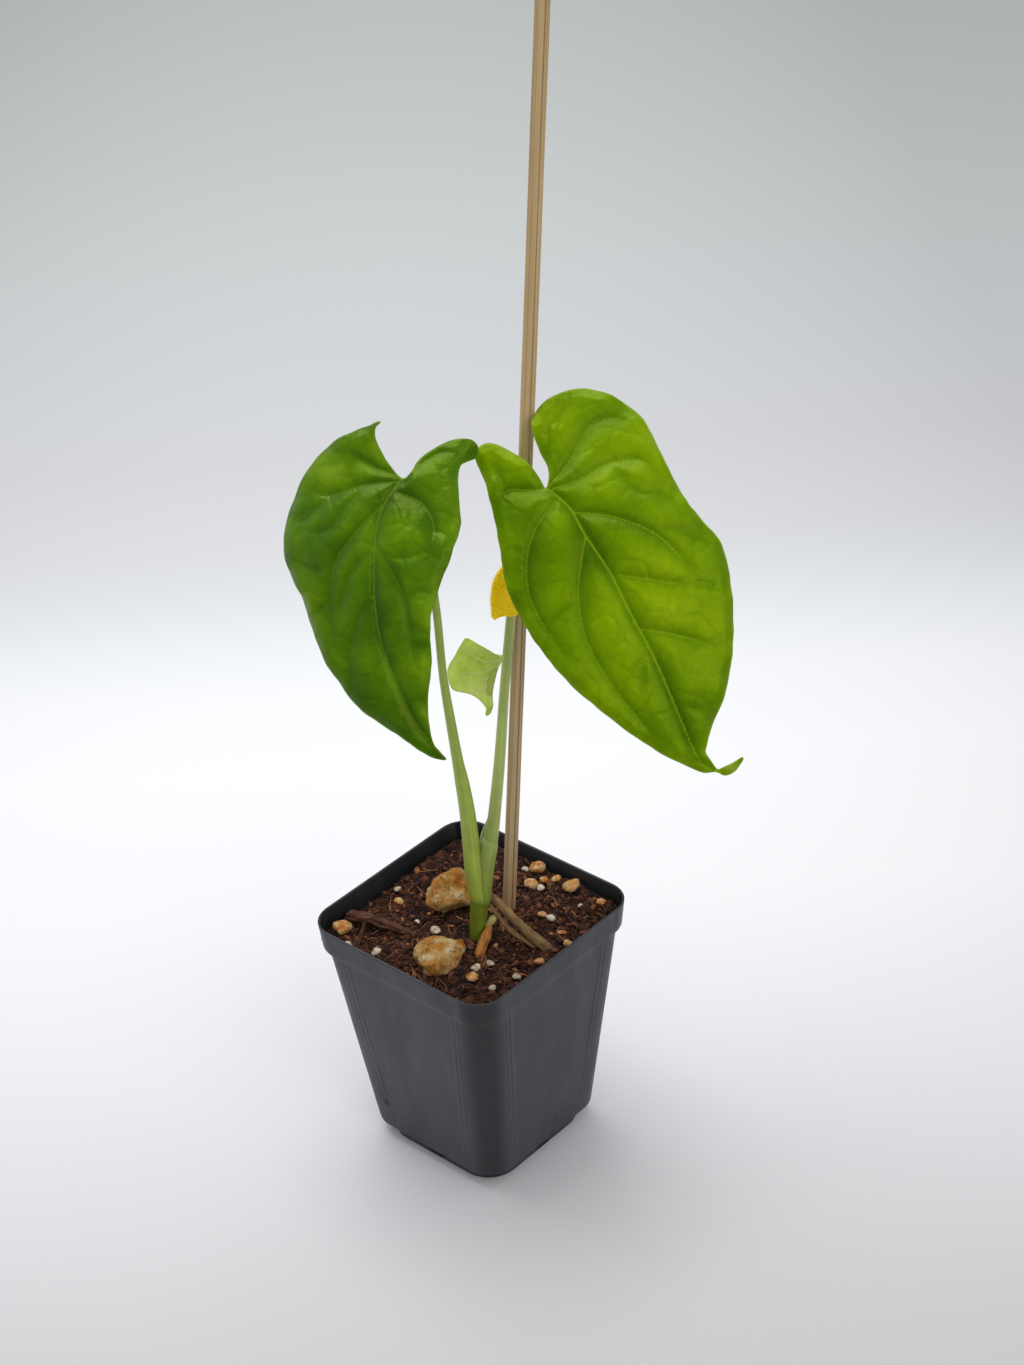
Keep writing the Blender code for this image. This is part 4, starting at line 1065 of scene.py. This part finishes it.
pot = {
    "wall": 1.0, "band": 10.8, "bandStep": 1.5, "bandTaper": 0.9, "ledge": 0.9,
    "footWidth": 57.7, "footHeight": 5.4, "footInset": 3.6, "footSlope": 1.4, "footCorner": 12.4,
    "baseCorner": 10.1, "rimCorner": 11.9, "ridges": (1.4, 3.6), "ridgeHeight": 0.13,
    "cornerSteps": 14, "warp": 0.16,
    "drainRadius": 3.6, "drainOffset": 15.5,
}


def potRing(half, corner, z, ridged=0.0, warp=0.0):
    # rounded square, with two fine upright ridges beside each corner
    flat = 2 * (half - corner)
    near = [0.6]
    for at in pot["ridges"]:
        near += [at - 0.45, at - 0.15, at + 0.15, at + 0.45]
    near += [5.5, 8.5, 12.0, 16.0, 20.0]
    stops = near + [flat / 2] + [flat - s for s in reversed(near)]
    ring = []
    for quarter in range(4):
        turn = math.radians(90 * quarter)
        spin = np.array(((math.cos(turn), -math.sin(turn)), (math.sin(turn), math.cos(turn))))
        for step in range(pot["cornerSteps"] + 1):
            angle = math.radians(90) * step / pot["cornerSteps"]
            reach = half - corner + corner * np.array((math.cos(angle), math.sin(angle)))
            ring.append(spin @ reach)
        for stop in stops:
            rise = sum(math.exp(-((min(stop, flat - stop) - at) / 0.3) ** 2) for at in pot["ridges"])
            bow = warp * noise.noise(Vector((stop / 22, z / 30, quarter * 4.0)))
            ring.append(spin @ np.array((half - corner - stop, half + ridged * rise + bow)))
    return np.column_stack([np.array(ring), np.full(len(ring), z)])


def addPot():
    height = (rimHeight - potLow.z) / mm
    rim = (potHigh.x - potLow.x) / 2 / mm
    base = pot["footWidth"] / 2
    ledgeTop = height - pot["band"]
    ledgeLow = ledgeTop - pot["ledge"]
    wallTop = rim - pot["bandTaper"] - pot["bandStep"]
    wallLow = base + pot["footInset"]
    wallFoot = pot["footHeight"] + pot["footSlope"]
    wall = pot["wall"]
    foot = pot["footHeight"]
    outside = [(0.0, base - 0.8, 0), (0.12, base - 0.35, 0), (0.5, base - 0.02, 0),
               (foot - 0.4, base + 0.3, 0),
               (foot + 0.1, base + 0.6, 0), (foot + 0.9, base + 2.9, 0),
               (wallFoot - 0.05, wallLow - 0.15, 0),
               (wallFoot + 0.7, wallLow + 0.05, 0)]
    for share in np.linspace(0.02, 0.985, 26):
        outside.append((wallFoot + (ledgeLow - wallFoot) * share, wallLow + (wallTop - wallLow) * share, 1))
    outside += [(ledgeLow, wallTop + 0.1, 0.6), (ledgeLow + 0.35, wallTop + 0.65, 0.3),
                (ledgeTop - 0.15, wallTop + 1.35, 0.2),
                (ledgeTop + 0.3, rim - pot["bandTaper"] + 0.02, 0.2)]
    for share in (0.2, 0.4, 0.6, 0.8, 0.93):
        outside.append((ledgeTop + (height - ledgeTop) * share, rim - pot["bandTaper"] * (1 - share), 0.25))
    outside += [(height - 0.35, rim, 0), (height - 0.1, rim - 0.15, 0), (height, rim - 0.45, 0)]
    inside = [(height - 0.1, rim - 0.78, 0), (height - 0.4, rim - wall, 0)]
    inside += [(ledgeTop, rim - pot["bandTaper"] - wall, 0), (ledgeLow, wallTop - wall, 0)]
    inside += [(z, wallLow + (wallTop - wallLow) * (z - wallFoot) / (ledgeLow - wallFoot) - wall, 0)
               for z in (70.0, 40.0, 12.0)]
    inside += [(wallFoot, wallLow - wall, 0), (pot["footHeight"], base + 0.3 - wall, 0),
               (wall, base - wall, 0)]
    rings = []
    for number, (z, half, ridged) in enumerate(outside + inside):
        corner = pot["baseCorner"] + (pot["rimCorner"] - pot["baseCorner"]) * z / height
        if z < foot + 0.5:
            corner = pot["footCorner"]
        if number >= len(outside):
            corner -= wall
        rings.append(potRing(half, corner, z, pot["ridgeHeight"] * ridged, pot["warp"] if ridged else 0.0))
    points = np.vstack(rings) * mm + np.array((0, 0, potLow.z))
    piece = addPiece("nurseryPot", points, skinRings(rings), potMaterial(), ["pot"])
    cutters = []
    for sx in (-1, 1):
        for sy in (-1, 1):
            drill = bmesh.new()
            bmesh.ops.create_cone(drill, cap_ends=True, segments=32, radius1=pot["drainRadius"] * mm,
                                  radius2=pot["drainRadius"] * mm, depth=6 * mm)
            mesh = bpy.data.meshes.new("drill")
            drill.to_mesh(mesh)
            drill.free()
            cutter = bpy.data.objects.new("drill", mesh)
            cutter.location = (sx * pot["drainOffset"] * mm, sy * pot["drainOffset"] * mm, potLow.z)
            bpy.context.scene.collection.objects.link(cutter)
            step = piece.modifiers.new("drain", "BOOLEAN")
            step.object = cutter
            cutters.append(cutter)
    applyModifiers(piece)
    for cutter in cutters:
        bpy.data.objects.remove(cutter)
    piece.data.shade_smooth()
    piece.data.set_sharp_from_angle(angle=math.radians(38))
    return piece


def applyModifiers(piece):
    bpy.context.view_layer.update()
    made = bpy.data.meshes.new_from_object(piece.evaluated_get(bpy.context.evaluated_depsgraph_get()))
    piece.modifiers.clear()
    piece.data = made


def potMaterial():
    material, tree = newMaterial("potPlastic", {"Roughness": 0.42, "Specular IOR Level": 0.42})
    where = node(tree, "TexCoord").outputs["Object"]
    spot = node(tree, "SeparateXYZ", {"Vector": where}).outputs
    cloud = noiseNode(place(tree, (1, 1, 0.45)), 34.0, 3.0)
    smear = noiseNode(place(tree, (1, 1, 0.25)), 110.0, 4.0, 0.6)
    colour = ramp(cloud, [(0.35, srgb(38, 41, 48)), (0.65, srgb(54, 57, 63))])
    dusty = ramp(smear, [(0.55, grey(0.0)), (0.72, grey(1.0))])
    colour = mix(times(dusty, 0.18), colour, srgb(108, 106, 104))
    # painted shade: the plastic is darkened round the corners and made near-black on the inside
    aside, ahead = maths("ABSOLUTE", spot["X"]), maths("ABSOLUTE", spot["Y"])
    turn = maths("DIVIDE", maths("MINIMUM", aside, ahead), maths("MAXIMUM", aside, ahead))
    bend = node(tree, "MapRange", {"Value": turn, "From Min": 0.66, "From Max": 0.90},
                interpolation_type="SMOOTHSTEP").outputs["Result"]
    colour = mix(times(bend, 0.8), colour, srgb(20, 22, 25))
    outward = node(tree, "VectorMath", {0: node(tree, "NewGeometry").outputs["Normal"], 1: where},
                   operation="DOT_PRODUCT").outputs["Value"]
    insideShade = times(maths("LESS_THAN", outward, 0.002), maths("GREATER_THAN", spot["Z"], 0.05))
    colour = mix(times(insideShade, 0.75), colour, srgb(12, 15, 16))
    # specks of dried soil, mostly low down
    dots = cellsNode(place(tree, (1, 1, 0.7)), 170.0)
    chosen = noiseNode(where, 48.0, 2.0)
    lower = span(spot["Z"], 0.045, 0.0, 0.76, 0.52)
    speck = times(maths("LESS_THAN", dots, 0.24), maths("GREATER_THAN", chosen, lower))
    colour = mix(times(speck, 0.8), colour, srgb(66, 46, 32))
    rough = ramp(smear, [(0.3, grey(0.36)), (0.7, grey(0.55))])
    rough = plus(rough, times(speck, 0.3))
    skin = noiseNode(where, 900.0, 3.0)
    height = plus(times(skin, 0.4), times(cloud, 2.0))
    return painted(material, colour, height, 0.00006, 0.8, rough)


addPot()
print("stage: pot")

# soil: a crumbly bed with loose crumbs, flakes and coir fibres

soil = {
    "riseBack": 2.2, "lump": 0.9, "lumpSpacing": 18.0, "hollow": (-0.70, -0.62, 3.5, 7.5),
    "mound": (-0.92, -0.80, 3.0, 10.0), "half": 42.1, "corner": 10.6, "spacing": 0.62,
    "crumbs": 2500, "crumbSize": (0.55, 1.7), "bigCrumbs": 430, "bigSize": (1.4, 2.9),
    "sides": ((91.0, 40.7), (50.0, 35.8), (6.6, 31.15), (4.2, 27.85), (1.4, 27.35)),
    "flakes": 260, "flakeSize": (1.2, 3.2), "fibres": 560, "fibreLength": (3.5, 14.0), "seed": 17,
}


def soilTop(x, y):
    # the packed soil's own surface, in mm from the pot's foot
    half = soil["half"]
    height = soilLevel / mm + soil["riseBack"] * y / half
    height += soil["lump"] * noise.noise(Vector((x, y, 0)) / soil["lumpSpacing"])
    for key, sign in (("hollow", -1), ("mound", 1)):
        atX, atY, tall, reach = soil[key]
        height += sign * tall * math.exp(-((x - atX * half) ** 2 + (y - atY * half) ** 2) / reach ** 2)
    return height


def crumbly(x, y):
    # small clods on top of that
    spot = Vector((x, y, 3.0))
    clods = noise.voronoi(spot / 3.1)[0]
    fine = noise.voronoi(spot / 1.35)[0]
    rise = 1.7 * (0.5 - clods[0]) + 0.7 * (0.5 - fine[0])
    return rise + 1.0 * noise.noise(spot / 6.5) + 0.35 * noise.noise(spot / 1.1)


def roundedSquare(half, corner, steps=8):
    ring = []
    for quarter in range(4):
        for step in range(steps + 1):
            angle = math.radians(90 * quarter + 90 * step / steps)
            centre = np.array(((1, 1), (-1, 1), (-1, -1), (1, -1))[quarter]) * (half - corner)
            ring.append(centre + corner * np.array((math.cos(angle), math.sin(angle))))
    return np.array(ring)


def addSoil():
    half = soil["half"] + 0.25
    outline = evenly(roundedSquare(half, soil["corner"]), soil["spacing"], closed=True)
    spots, faces = meshInside(outline, np.vstack([outline, gridInside(outline, soil["spacing"])]))
    margin = nearestOn(spots, outline)[0]
    rise = np.array([crumbly(x, y) for x, y in spots])
    base = np.array([soilTop(x, y) for x, y in spots])
    height = base + rise - 0.9 * np.exp(-(margin / 1.4) ** 2) - 0.35
    points = [np.column_stack([spots, height])]
    # the sides follow the pot's inside down to its floor
    last = np.arange(len(outline))
    count = len(spots)
    for z, width in soil["sides"]:
        points.append(np.column_stack([outline * (width / half), np.full(len(outline), z)]))
        level = np.arange(count, count + len(outline))
        faces += np.stack([last, level, np.roll(level, -1), np.roll(last, -1)], axis=1).tolist()
        last = level
        count += len(outline)
    faces.append(last.tolist())
    points = np.vstack(points)
    # painted shade: the sides get a low tone, which the material paints near black
    tone = np.concatenate([rise, np.full(len(points) - len(rise), -0.5)])
    return addPiece("soilBed", points * mm, faces, soilMaterial("pottingMix"), ["soil"],
                    smooth=False, traits={"tone": tone, "hue": np.full(len(points), 0.42)})


def soilMaterial(name):
    material, tree = newMaterial(name, {"Roughness": 0.88, "Specular IOR Level": 0.25})
    where = place(tree)
    blot = noiseNode(where, 320.0, 5.0, 0.65)
    fine = noiseNode(where, 1500.0, 3.0, 0.6)
    hue = plus(trait(tree, "hue"), times(maths("SUBTRACT", blot, 0.5), 0.85))
    colour = ramp(hue, [(0.08, srgb(22, 13, 10)), (0.32, srgb(52, 30, 22)), (0.52, srgb(96, 56, 38)),
                              (0.72, srgb(138, 84, 54)), (0.92, srgb(204, 146, 92))])
    colour = mottled(0.45, colour, fine, (0.3, 0.5), (0.7, 1.4))
    # painted shade: the low places between the clods are darkened towards near black
    deep = span(trait(tree, "tone"), 0.5, -0.6)
    colour = mix(times(deep, 0.95), colour, srgb(16, 9, 7))
    return painted(material, colour, plus(blot, times(fine, 0.5)), 0.0005, 0.9)


def lumpShape(detail):
    ball = bmesh.new()
    bmesh.ops.create_icosphere(ball, subdivisions=detail, radius=1.0)
    points = np.array([tuple(v.co) for v in ball.verts])
    faces = np.array([[v.index for v in f.verts] for f in ball.faces])
    ball.free()
    return points, faces


def randomTurns(chance, count):
    # evenly spread turns, as rotation matrices
    q = chance.normal(size=(count, 4))
    q /= np.linalg.norm(q, axis=1)[:, None]
    w, x, y, z = q.T
    return np.stack([1 - 2 * (y * y + z * z), 2 * (x * y - z * w), 2 * (x * z + y * w),
                     2 * (x * y + z * w), 1 - 2 * (x * x + z * z), 2 * (y * z - x * w),
                     2 * (x * z - y * w), 2 * (y * z + x * w), 1 - 2 * (x * x + y * y)],
                    axis=1).reshape(-1, 3, 3)


def freeSpots(chance, count, keepOff):
    # random places on the soil, clear of the lumps and whatever stands in it
    found = []
    half, corner = soil["half"] - 1.2, soil["corner"]
    while len(found) < count:
        x, y = chance.uniform(-half, half, 2)
        outX, outY = abs(x) - (half - corner), abs(y) - (half - corner)
        if outX > 0 and outY > 0 and math.hypot(outX, outY) > corner:
            continue
        if any((x - px) ** 2 + (y - py) ** 2 < reach ** 2 for px, py, reach in keepOff):
            continue
        found.append((x, y))
    return np.array(found)


def scatter(name, chance, count, sizes, squash, detail, rough, hues, sink, keepOff):
    shape, tris = lumpShape(detail)
    spots = freeSpots(chance, count, keepOff)
    size = chance.uniform(*sizes, count) * 0.5 * chance.choice([0.8, 1.0, 1.25], count)
    stretch = np.column_stack([chance.uniform(0.9, 1.7, count), chance.uniform(0.6, 1.1, count),
                               chance.uniform(*squash, count)])
    jitter = 1 + rough * chance.normal(size=(count, len(shape), 1))
    local = shape[None] * jitter * stretch[:, None, :] * size[:, None, None]
    turns = randomTurns(chance, count)
    tilt = local @ turns
    tilt[..., 2] *= 0.8
    ground = np.array([soilTop(x, y) + crumbly(x, y) - 0.35 for x, y in spots])
    centre = np.column_stack([spots, ground + size * sink])
    points = (tilt + centre[:, None, :]).reshape(-1, 3) * mm
    faces = (tris[None] + (np.arange(count) * len(shape))[:, None, None]).reshape(-1, 3)
    hue = np.repeat(np.clip(chance.normal(*hues, count), 0.1, 0.98), len(shape))
    return addPiece(name, points, faces.tolist(), soilLook,
                    traits={"tone": np.full(len(points), 0.6), "hue": hue}, smooth=detail > 1)


def scatterFibres(chance, keepOff):
    points, faces, hue = [], [], []
    for x, y in freeSpots(chance, soil["fibres"], keepOff):
        length = chance.uniform(*soil["fibreLength"])
        heading = chance.uniform(0, 2 * math.pi)
        curl = chance.normal(scale=0.22)
        radius = chance.uniform(0.08, 0.26)
        tone = chance.choice([0.3, 0.5, 0.78], p=[0.42, 0.44, 0.14])
        steps = 7
        start = len(points)
        for step in range(steps + 1):
            limit = soil["half"] - 0.8
            px, py = max(-limit, min(limit, x)), max(-limit, min(limit, y))
            arch = 0.7 * math.sin(math.pi * step / steps) * chance.uniform(0.2, 1)
            z = soilTop(px, py) + crumbly(px, py) + 0.1 + arch
            across = np.array((-math.sin(heading), math.cos(heading), 0))
            thick = radius * (1 - 0.6 * abs(step / steps - 0.4))
            for angle in (0, 2.1, 4.2):
                points.append(np.array((px, py, z)) + thick * (across * math.cos(angle)
                                                               + np.array((0, 0, 1)) * math.sin(angle)))
            hue += [tone] * 3
            heading += curl + chance.normal(scale=0.12)
            x += length / steps * math.cos(heading)
            y += length / steps * math.sin(heading)
        for step in range(steps):
            low = start + step * 3
            for k in range(3):
                after = (k + 1) % 3
                faces.append((low + k, low + after, low + 3 + after, low + 3 + k))
        faces.append((start + 2, start + 1, start))
        faces.append((start + steps * 3, start + steps * 3 + 1, start + steps * 3 + 2))
    return addPiece("coirFibres", np.array(points) * mm, faces, soilLook,
                    traits={"tone": np.full(len(points), 0.6), "hue": np.array(hue)})


def boxOf(name):
    low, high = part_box(name)
    return np.array((low + high) / 2) / mm, np.array(high - low) / mm


soilBed = addSoil()
soilLook = soilBed.data.materials[0]
standing = [(7.4, -2.4, 4.5), (5.2, 15.1, 3.6), (12.5, -8.5, 3.0)]
for lumpName in ("clay_chunk_front", "clay_chunk_back"):
    lumpCentre, lumpSize = boxOf(lumpName)
    standing.append((lumpCentre[0], lumpCentre[1], lumpSize[0] * 0.36))
soilChance = np.random.default_rng(soil["seed"])
# sizes, flatness, smoothness, roughness, hue and its spread, and how far each lies out of the soil
for looseName, looseCount, *looseShape in (
        ("crumbs", soil["crumbs"], soil["crumbSize"], (0.5, 1.0), 1, 0.16, (0.37, 0.16), 0.25),
        ("clods", soil["bigCrumbs"], soil["bigSize"], (0.45, 0.9), 2, 0.10, (0.33, 0.13), 0.05),
        ("flakes", soil["flakes"], soil["flakeSize"], (0.16, 0.3), 1, 0.12, (0.52, 0.17), 0.5)):
    scatter(looseName, soilChance, looseCount, *looseShape, standing)
scatterFibres(soilChance, standing)
print("stage: soil")


# clay lumps, grains and bark on the soil

lumps = {
    "front": {"node": "clay_chunk_front", "grow": (1.12, 1.2, 1.5), "shift": (0.2, 0.5, -2.2), "seed": 3.0},
    "back": {"node": "clay_chunk_back", "grow": (1.2, 1.34, 1.6), "shift": (0.6, 0.4, -1.8), "seed": 8.5},
    "detail": 5, "pitSize": 2.3, "pitDepth": 0.7,
}


def clayPiece(name, lump):
    centre, size = boxOf(lump["node"])
    shape, tris = lumpShape(lumps["detail"])
    half = size / 2 * np.array(lump["grow"])
    seed = lump["seed"]
    chance = np.random.default_rng(int(seed * 10))
    cuts = chance.normal(size=(11, 3))
    cuts /= np.linalg.norm(cuts, axis=1)[:, None]
    reach = chance.uniform(0.72, 0.96, len(cuts))
    # a ball cut by planes, with its edges rounded off
    along = np.maximum(shape @ cuts.T, 1e-3) / reach
    squared = shape / (np.sum(along ** 9, axis=1) ** (1 / 9))[:, None].clip(0.9)
    local = squared / np.abs(squared).max(axis=0) * half
    rise = 0.16 * noiseAt(local, 6.5, seed) + 0.10 * noiseAt(local, 2.8, seed + 1)
    local = local * (1 + rise)[:, None]
    shift = Vector((seed, 0, 0))
    cells = np.array([noise.voronoi(Vector(p) / lumps["pitSize"] + shift)[0][0] for p in local])
    chosen = noiseAt(local, 5.0, seed + 5) > -0.08
    pits = np.where(chosen, np.exp(-(cells / 0.24) ** 2), 0.0)
    fine = noiseAt(local, 0.9, seed + 2)
    outward = local / np.linalg.norm(local, axis=1)[:, None]
    local = local + outward * (0.22 * fine - lumps["pitDepth"] * pits)[:, None]
    rim = np.clip((-local[:, 2] / half[2] + 0.15 + 0.5 * noiseAt(local, 4.5, seed + 4)) * 1.2, 0, 1)
    points = (local + centre + np.array(lump["shift"])) * mm
    return addPiece(name, points, tris.tolist(), clayLook, [lump["node"]],
                    traits={"pit": pits, "rim": rim})


def clayMaterial(name, warm, pale, dusty, reach):
    material, tree = newMaterial(name, {"Roughness": 0.9, "Specular IOR Level": 0.2})
    where = place(tree)
    blot = noiseNode(where, reach, 4.0, 0.6)
    fine = noiseNode(where, 1100.0, 4.0, 0.65)
    colour = ramp(blot, [(0.34, warm), (0.5, pale), (0.68, dusty)])
    colour = mix(times(trait(tree, "rim"), 0.75), colour, dusty)
    colour = mottled(0.5, colour, fine, (0.32, 0.55), (0.68, 1.3))
    dots = cellsNode(where, 620.0)
    few = noiseNode(where, 210.0, 2.0)
    # painted shade: the pits and the pinholes are darkened
    pinhole = times(maths("LESS_THAN", dots, 0.25), maths("GREATER_THAN", few, 0.51))
    dark = maths("MAXIMUM", times(pinhole, 0.8), trait(tree, "pit"))
    colour = mix(times(dark, 0.85), colour, srgb(58, 46, 32))
    return painted(material, colour, maths("SUBTRACT", fine, pinhole), 0.0004, 0.9)


clayLook = clayMaterial("clayTan", srgb(146, 82, 18), srgb(162, 118, 56), srgb(186, 166, 126), 190.0)
gritLook = clayMaterial("gritOrange", srgb(150, 78, 12), srgb(184, 118, 48), srgb(200, 168, 122), 420.0)
perliteLook = clayMaterial("perliteCream", srgb(140, 114, 88), srgb(186, 168, 144), srgb(214, 204, 188),
                           330.0)
clayPiece("clayFront", lumps["front"])
clayPiece("clayBack", lumps["back"])


def grainPiece(number, nodeName):
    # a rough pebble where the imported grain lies, pressed a little into the soil
    centre, size = boxOf(nodeName)
    slotOf = {row["node"]: row["material_slot"] for row in frame["record"]["subparts"]}
    grit = slotOf[nodeName] == "clay_lump"
    shape, tris = lumpShape(3)
    local = shape * size / 2 * (1.25 if grit else 0.95)
    local = local * (1 + 0.38 * noiseAt(local, max(size) * 0.5, number * 1.7))[:, None]
    local = local * (1 + 0.1 * noiseAt(local, 0.6, number))[:, None]
    rim = np.clip(0.5 + 1.6 * noiseAt(local, max(size) * 0.5, number + 40.0), 0, 1)
    ground = soilTop(centre[0], centre[1])
    centre = np.array((centre[0], centre[1], max(ground + size[2] * 0.3, centre[2] - 0.6)))
    look = gritLook if grit else perliteLook
    addPiece(f"grain{number:02d}", (local + centre) * mm, tris.tolist(), look,
             [nodeName], traits={"rim": rim, "pit": np.zeros(len(local))})


grainNodes = sorted(name for name in frame["nodes"] if name.startswith("grain_"))
for grainNumber, grainNode in enumerate(grainNodes, 1):
    grainPiece(grainNumber, grainNode)

bark = {
    # along the stick: shares of the soil's half width, height, and the bundle's half width and thickness
    "stick": [(-0.97, -0.60, 2.4, 1.6, 1.3), (-0.88, -0.56, 2.5, 2.7, 1.2), (-0.76, -0.52, 2.3, 2.3, 1.1),
              (-0.60, -0.49, 2.0, 1.7, 1.0), (-0.44, -0.46, 1.7, 1.2, 0.9), (-0.30, -0.43, 1.3, 0.8, 0.7)],
    "twig": [(-0.80, -0.56, 2.2, 0.5, 0.4), (-0.75, -0.64, 1.6, 0.8, 0.5), (-0.70, -0.73, 1.2, 0.6, 0.4),
             (-0.63, -0.82, 1.0, 0.4, 0.3)],
    "strands": 7, "sides": 12, "spacing": 0.5,
}


def barkPiece(name, nodeName, rows, strands, seed):
    chance = np.random.default_rng(seed)
    route = []
    for shareX, shareY, height, wide, thick in rows:
        x, y = shareX * soil["half"], shareY * soil["half"]
        route.append((x, y, soilLevel / mm + soil["riseBack"] * shareY + height, wide, thick))
    middle = evenly(smoothCurve(route, 10), bark["spacing"])
    way = np.gradient(middle[:, :2], axis=0)
    aside = np.column_stack([-way[:, 1], way[:, 0]]) / np.linalg.norm(way, axis=1)[:, None]
    points, faces, grains = [], [], []
    for strand in range(strands):
        share = (strand + 0.5) / strands * 2 - 1 if strands > 1 else 0.0
        first = chance.integers(0, 5) if strand else 0
        last = len(middle) - (chance.integers(0, 9) if strand else 0)
        part, across = middle[first:last], aside[first:last]
        sway = noiseAt(np.column_stack([part[:, :2], np.full(len(part), strand * 5.0)]), 5.0, seed)
        swell = noiseAt(np.column_stack([part[:, :2], np.full(len(part), strand * 7.0)]), 2.4, seed + 2)
        spread = part[:, :2] + across * (share * part[:, 3] + 0.7 * sway * part[:, 3])[:, None]
        height = part[:, 2] + part[:, 4] * (0.5 * (1 - share ** 2)
                                            + 0.5 * chance.uniform(-1, 1) * (strands > 1))
        radius = part[:, 4] * (0.62 if strands > 1 else 1.0) * (1 + 0.5 * swell)
        line = roundEnds(np.column_stack([spread, height, radius]) * mm)
        rings = tubeRings(line, bark["sides"])
        grain = grainOf(rings, line, bark["sides"])
        fibres = np.array([noise.noise(Vector((x * 2.2, y * 2.2, z * 0.2 + seed + strand)))
                           for x, y, z in grain])
        centre = np.repeat(line[:, :3], bark["sides"], axis=0)
        shaped = centre + (rings.reshape(-1, 3) - centre) * (1 + 0.35 * fibres)[:, None]
        start = sum(len(p) for p in points)
        faces += [tuple(start + i for i in face) for face in skinRings(rings)]
        points.append(shaped)
        grains.append(grain + np.array((strand * 3.0, 0, 0)))
    return addPiece(name, np.vstack(points), faces, barkLook, [nodeName],
                    traits={"grain": np.vstack(grains)})


def barkMaterial():
    material, tree = newMaterial("barkBrown", {"Roughness": 0.88, "Specular IOR Level": 0.2})
    grain = trait(tree, "grain", "Vector")
    streak = noiseNode(place(tree, (2.0, 2.0, 0.16), grain), 1.0, 6.0, 0.7)
    blot = noiseNode(place(tree), 300.0, 3.0)
    both = blend(streak, blot, 0.35)
    colour = ramp(both, [(0.36, srgb(34, 20, 15)), (0.5, srgb(76, 48, 35)), (0.64, srgb(118, 80, 58))])
    return painted(material, colour, both, 0.0006, 0.9)


barkLook = barkMaterial()
barkPiece("barkStick", "bark_stick", bark["stick"], bark["strands"], 2)
barkPiece("barkTwig", "bark_twig", bark["twig"], 2, 6)
print("stage: lumps, grains and bark")
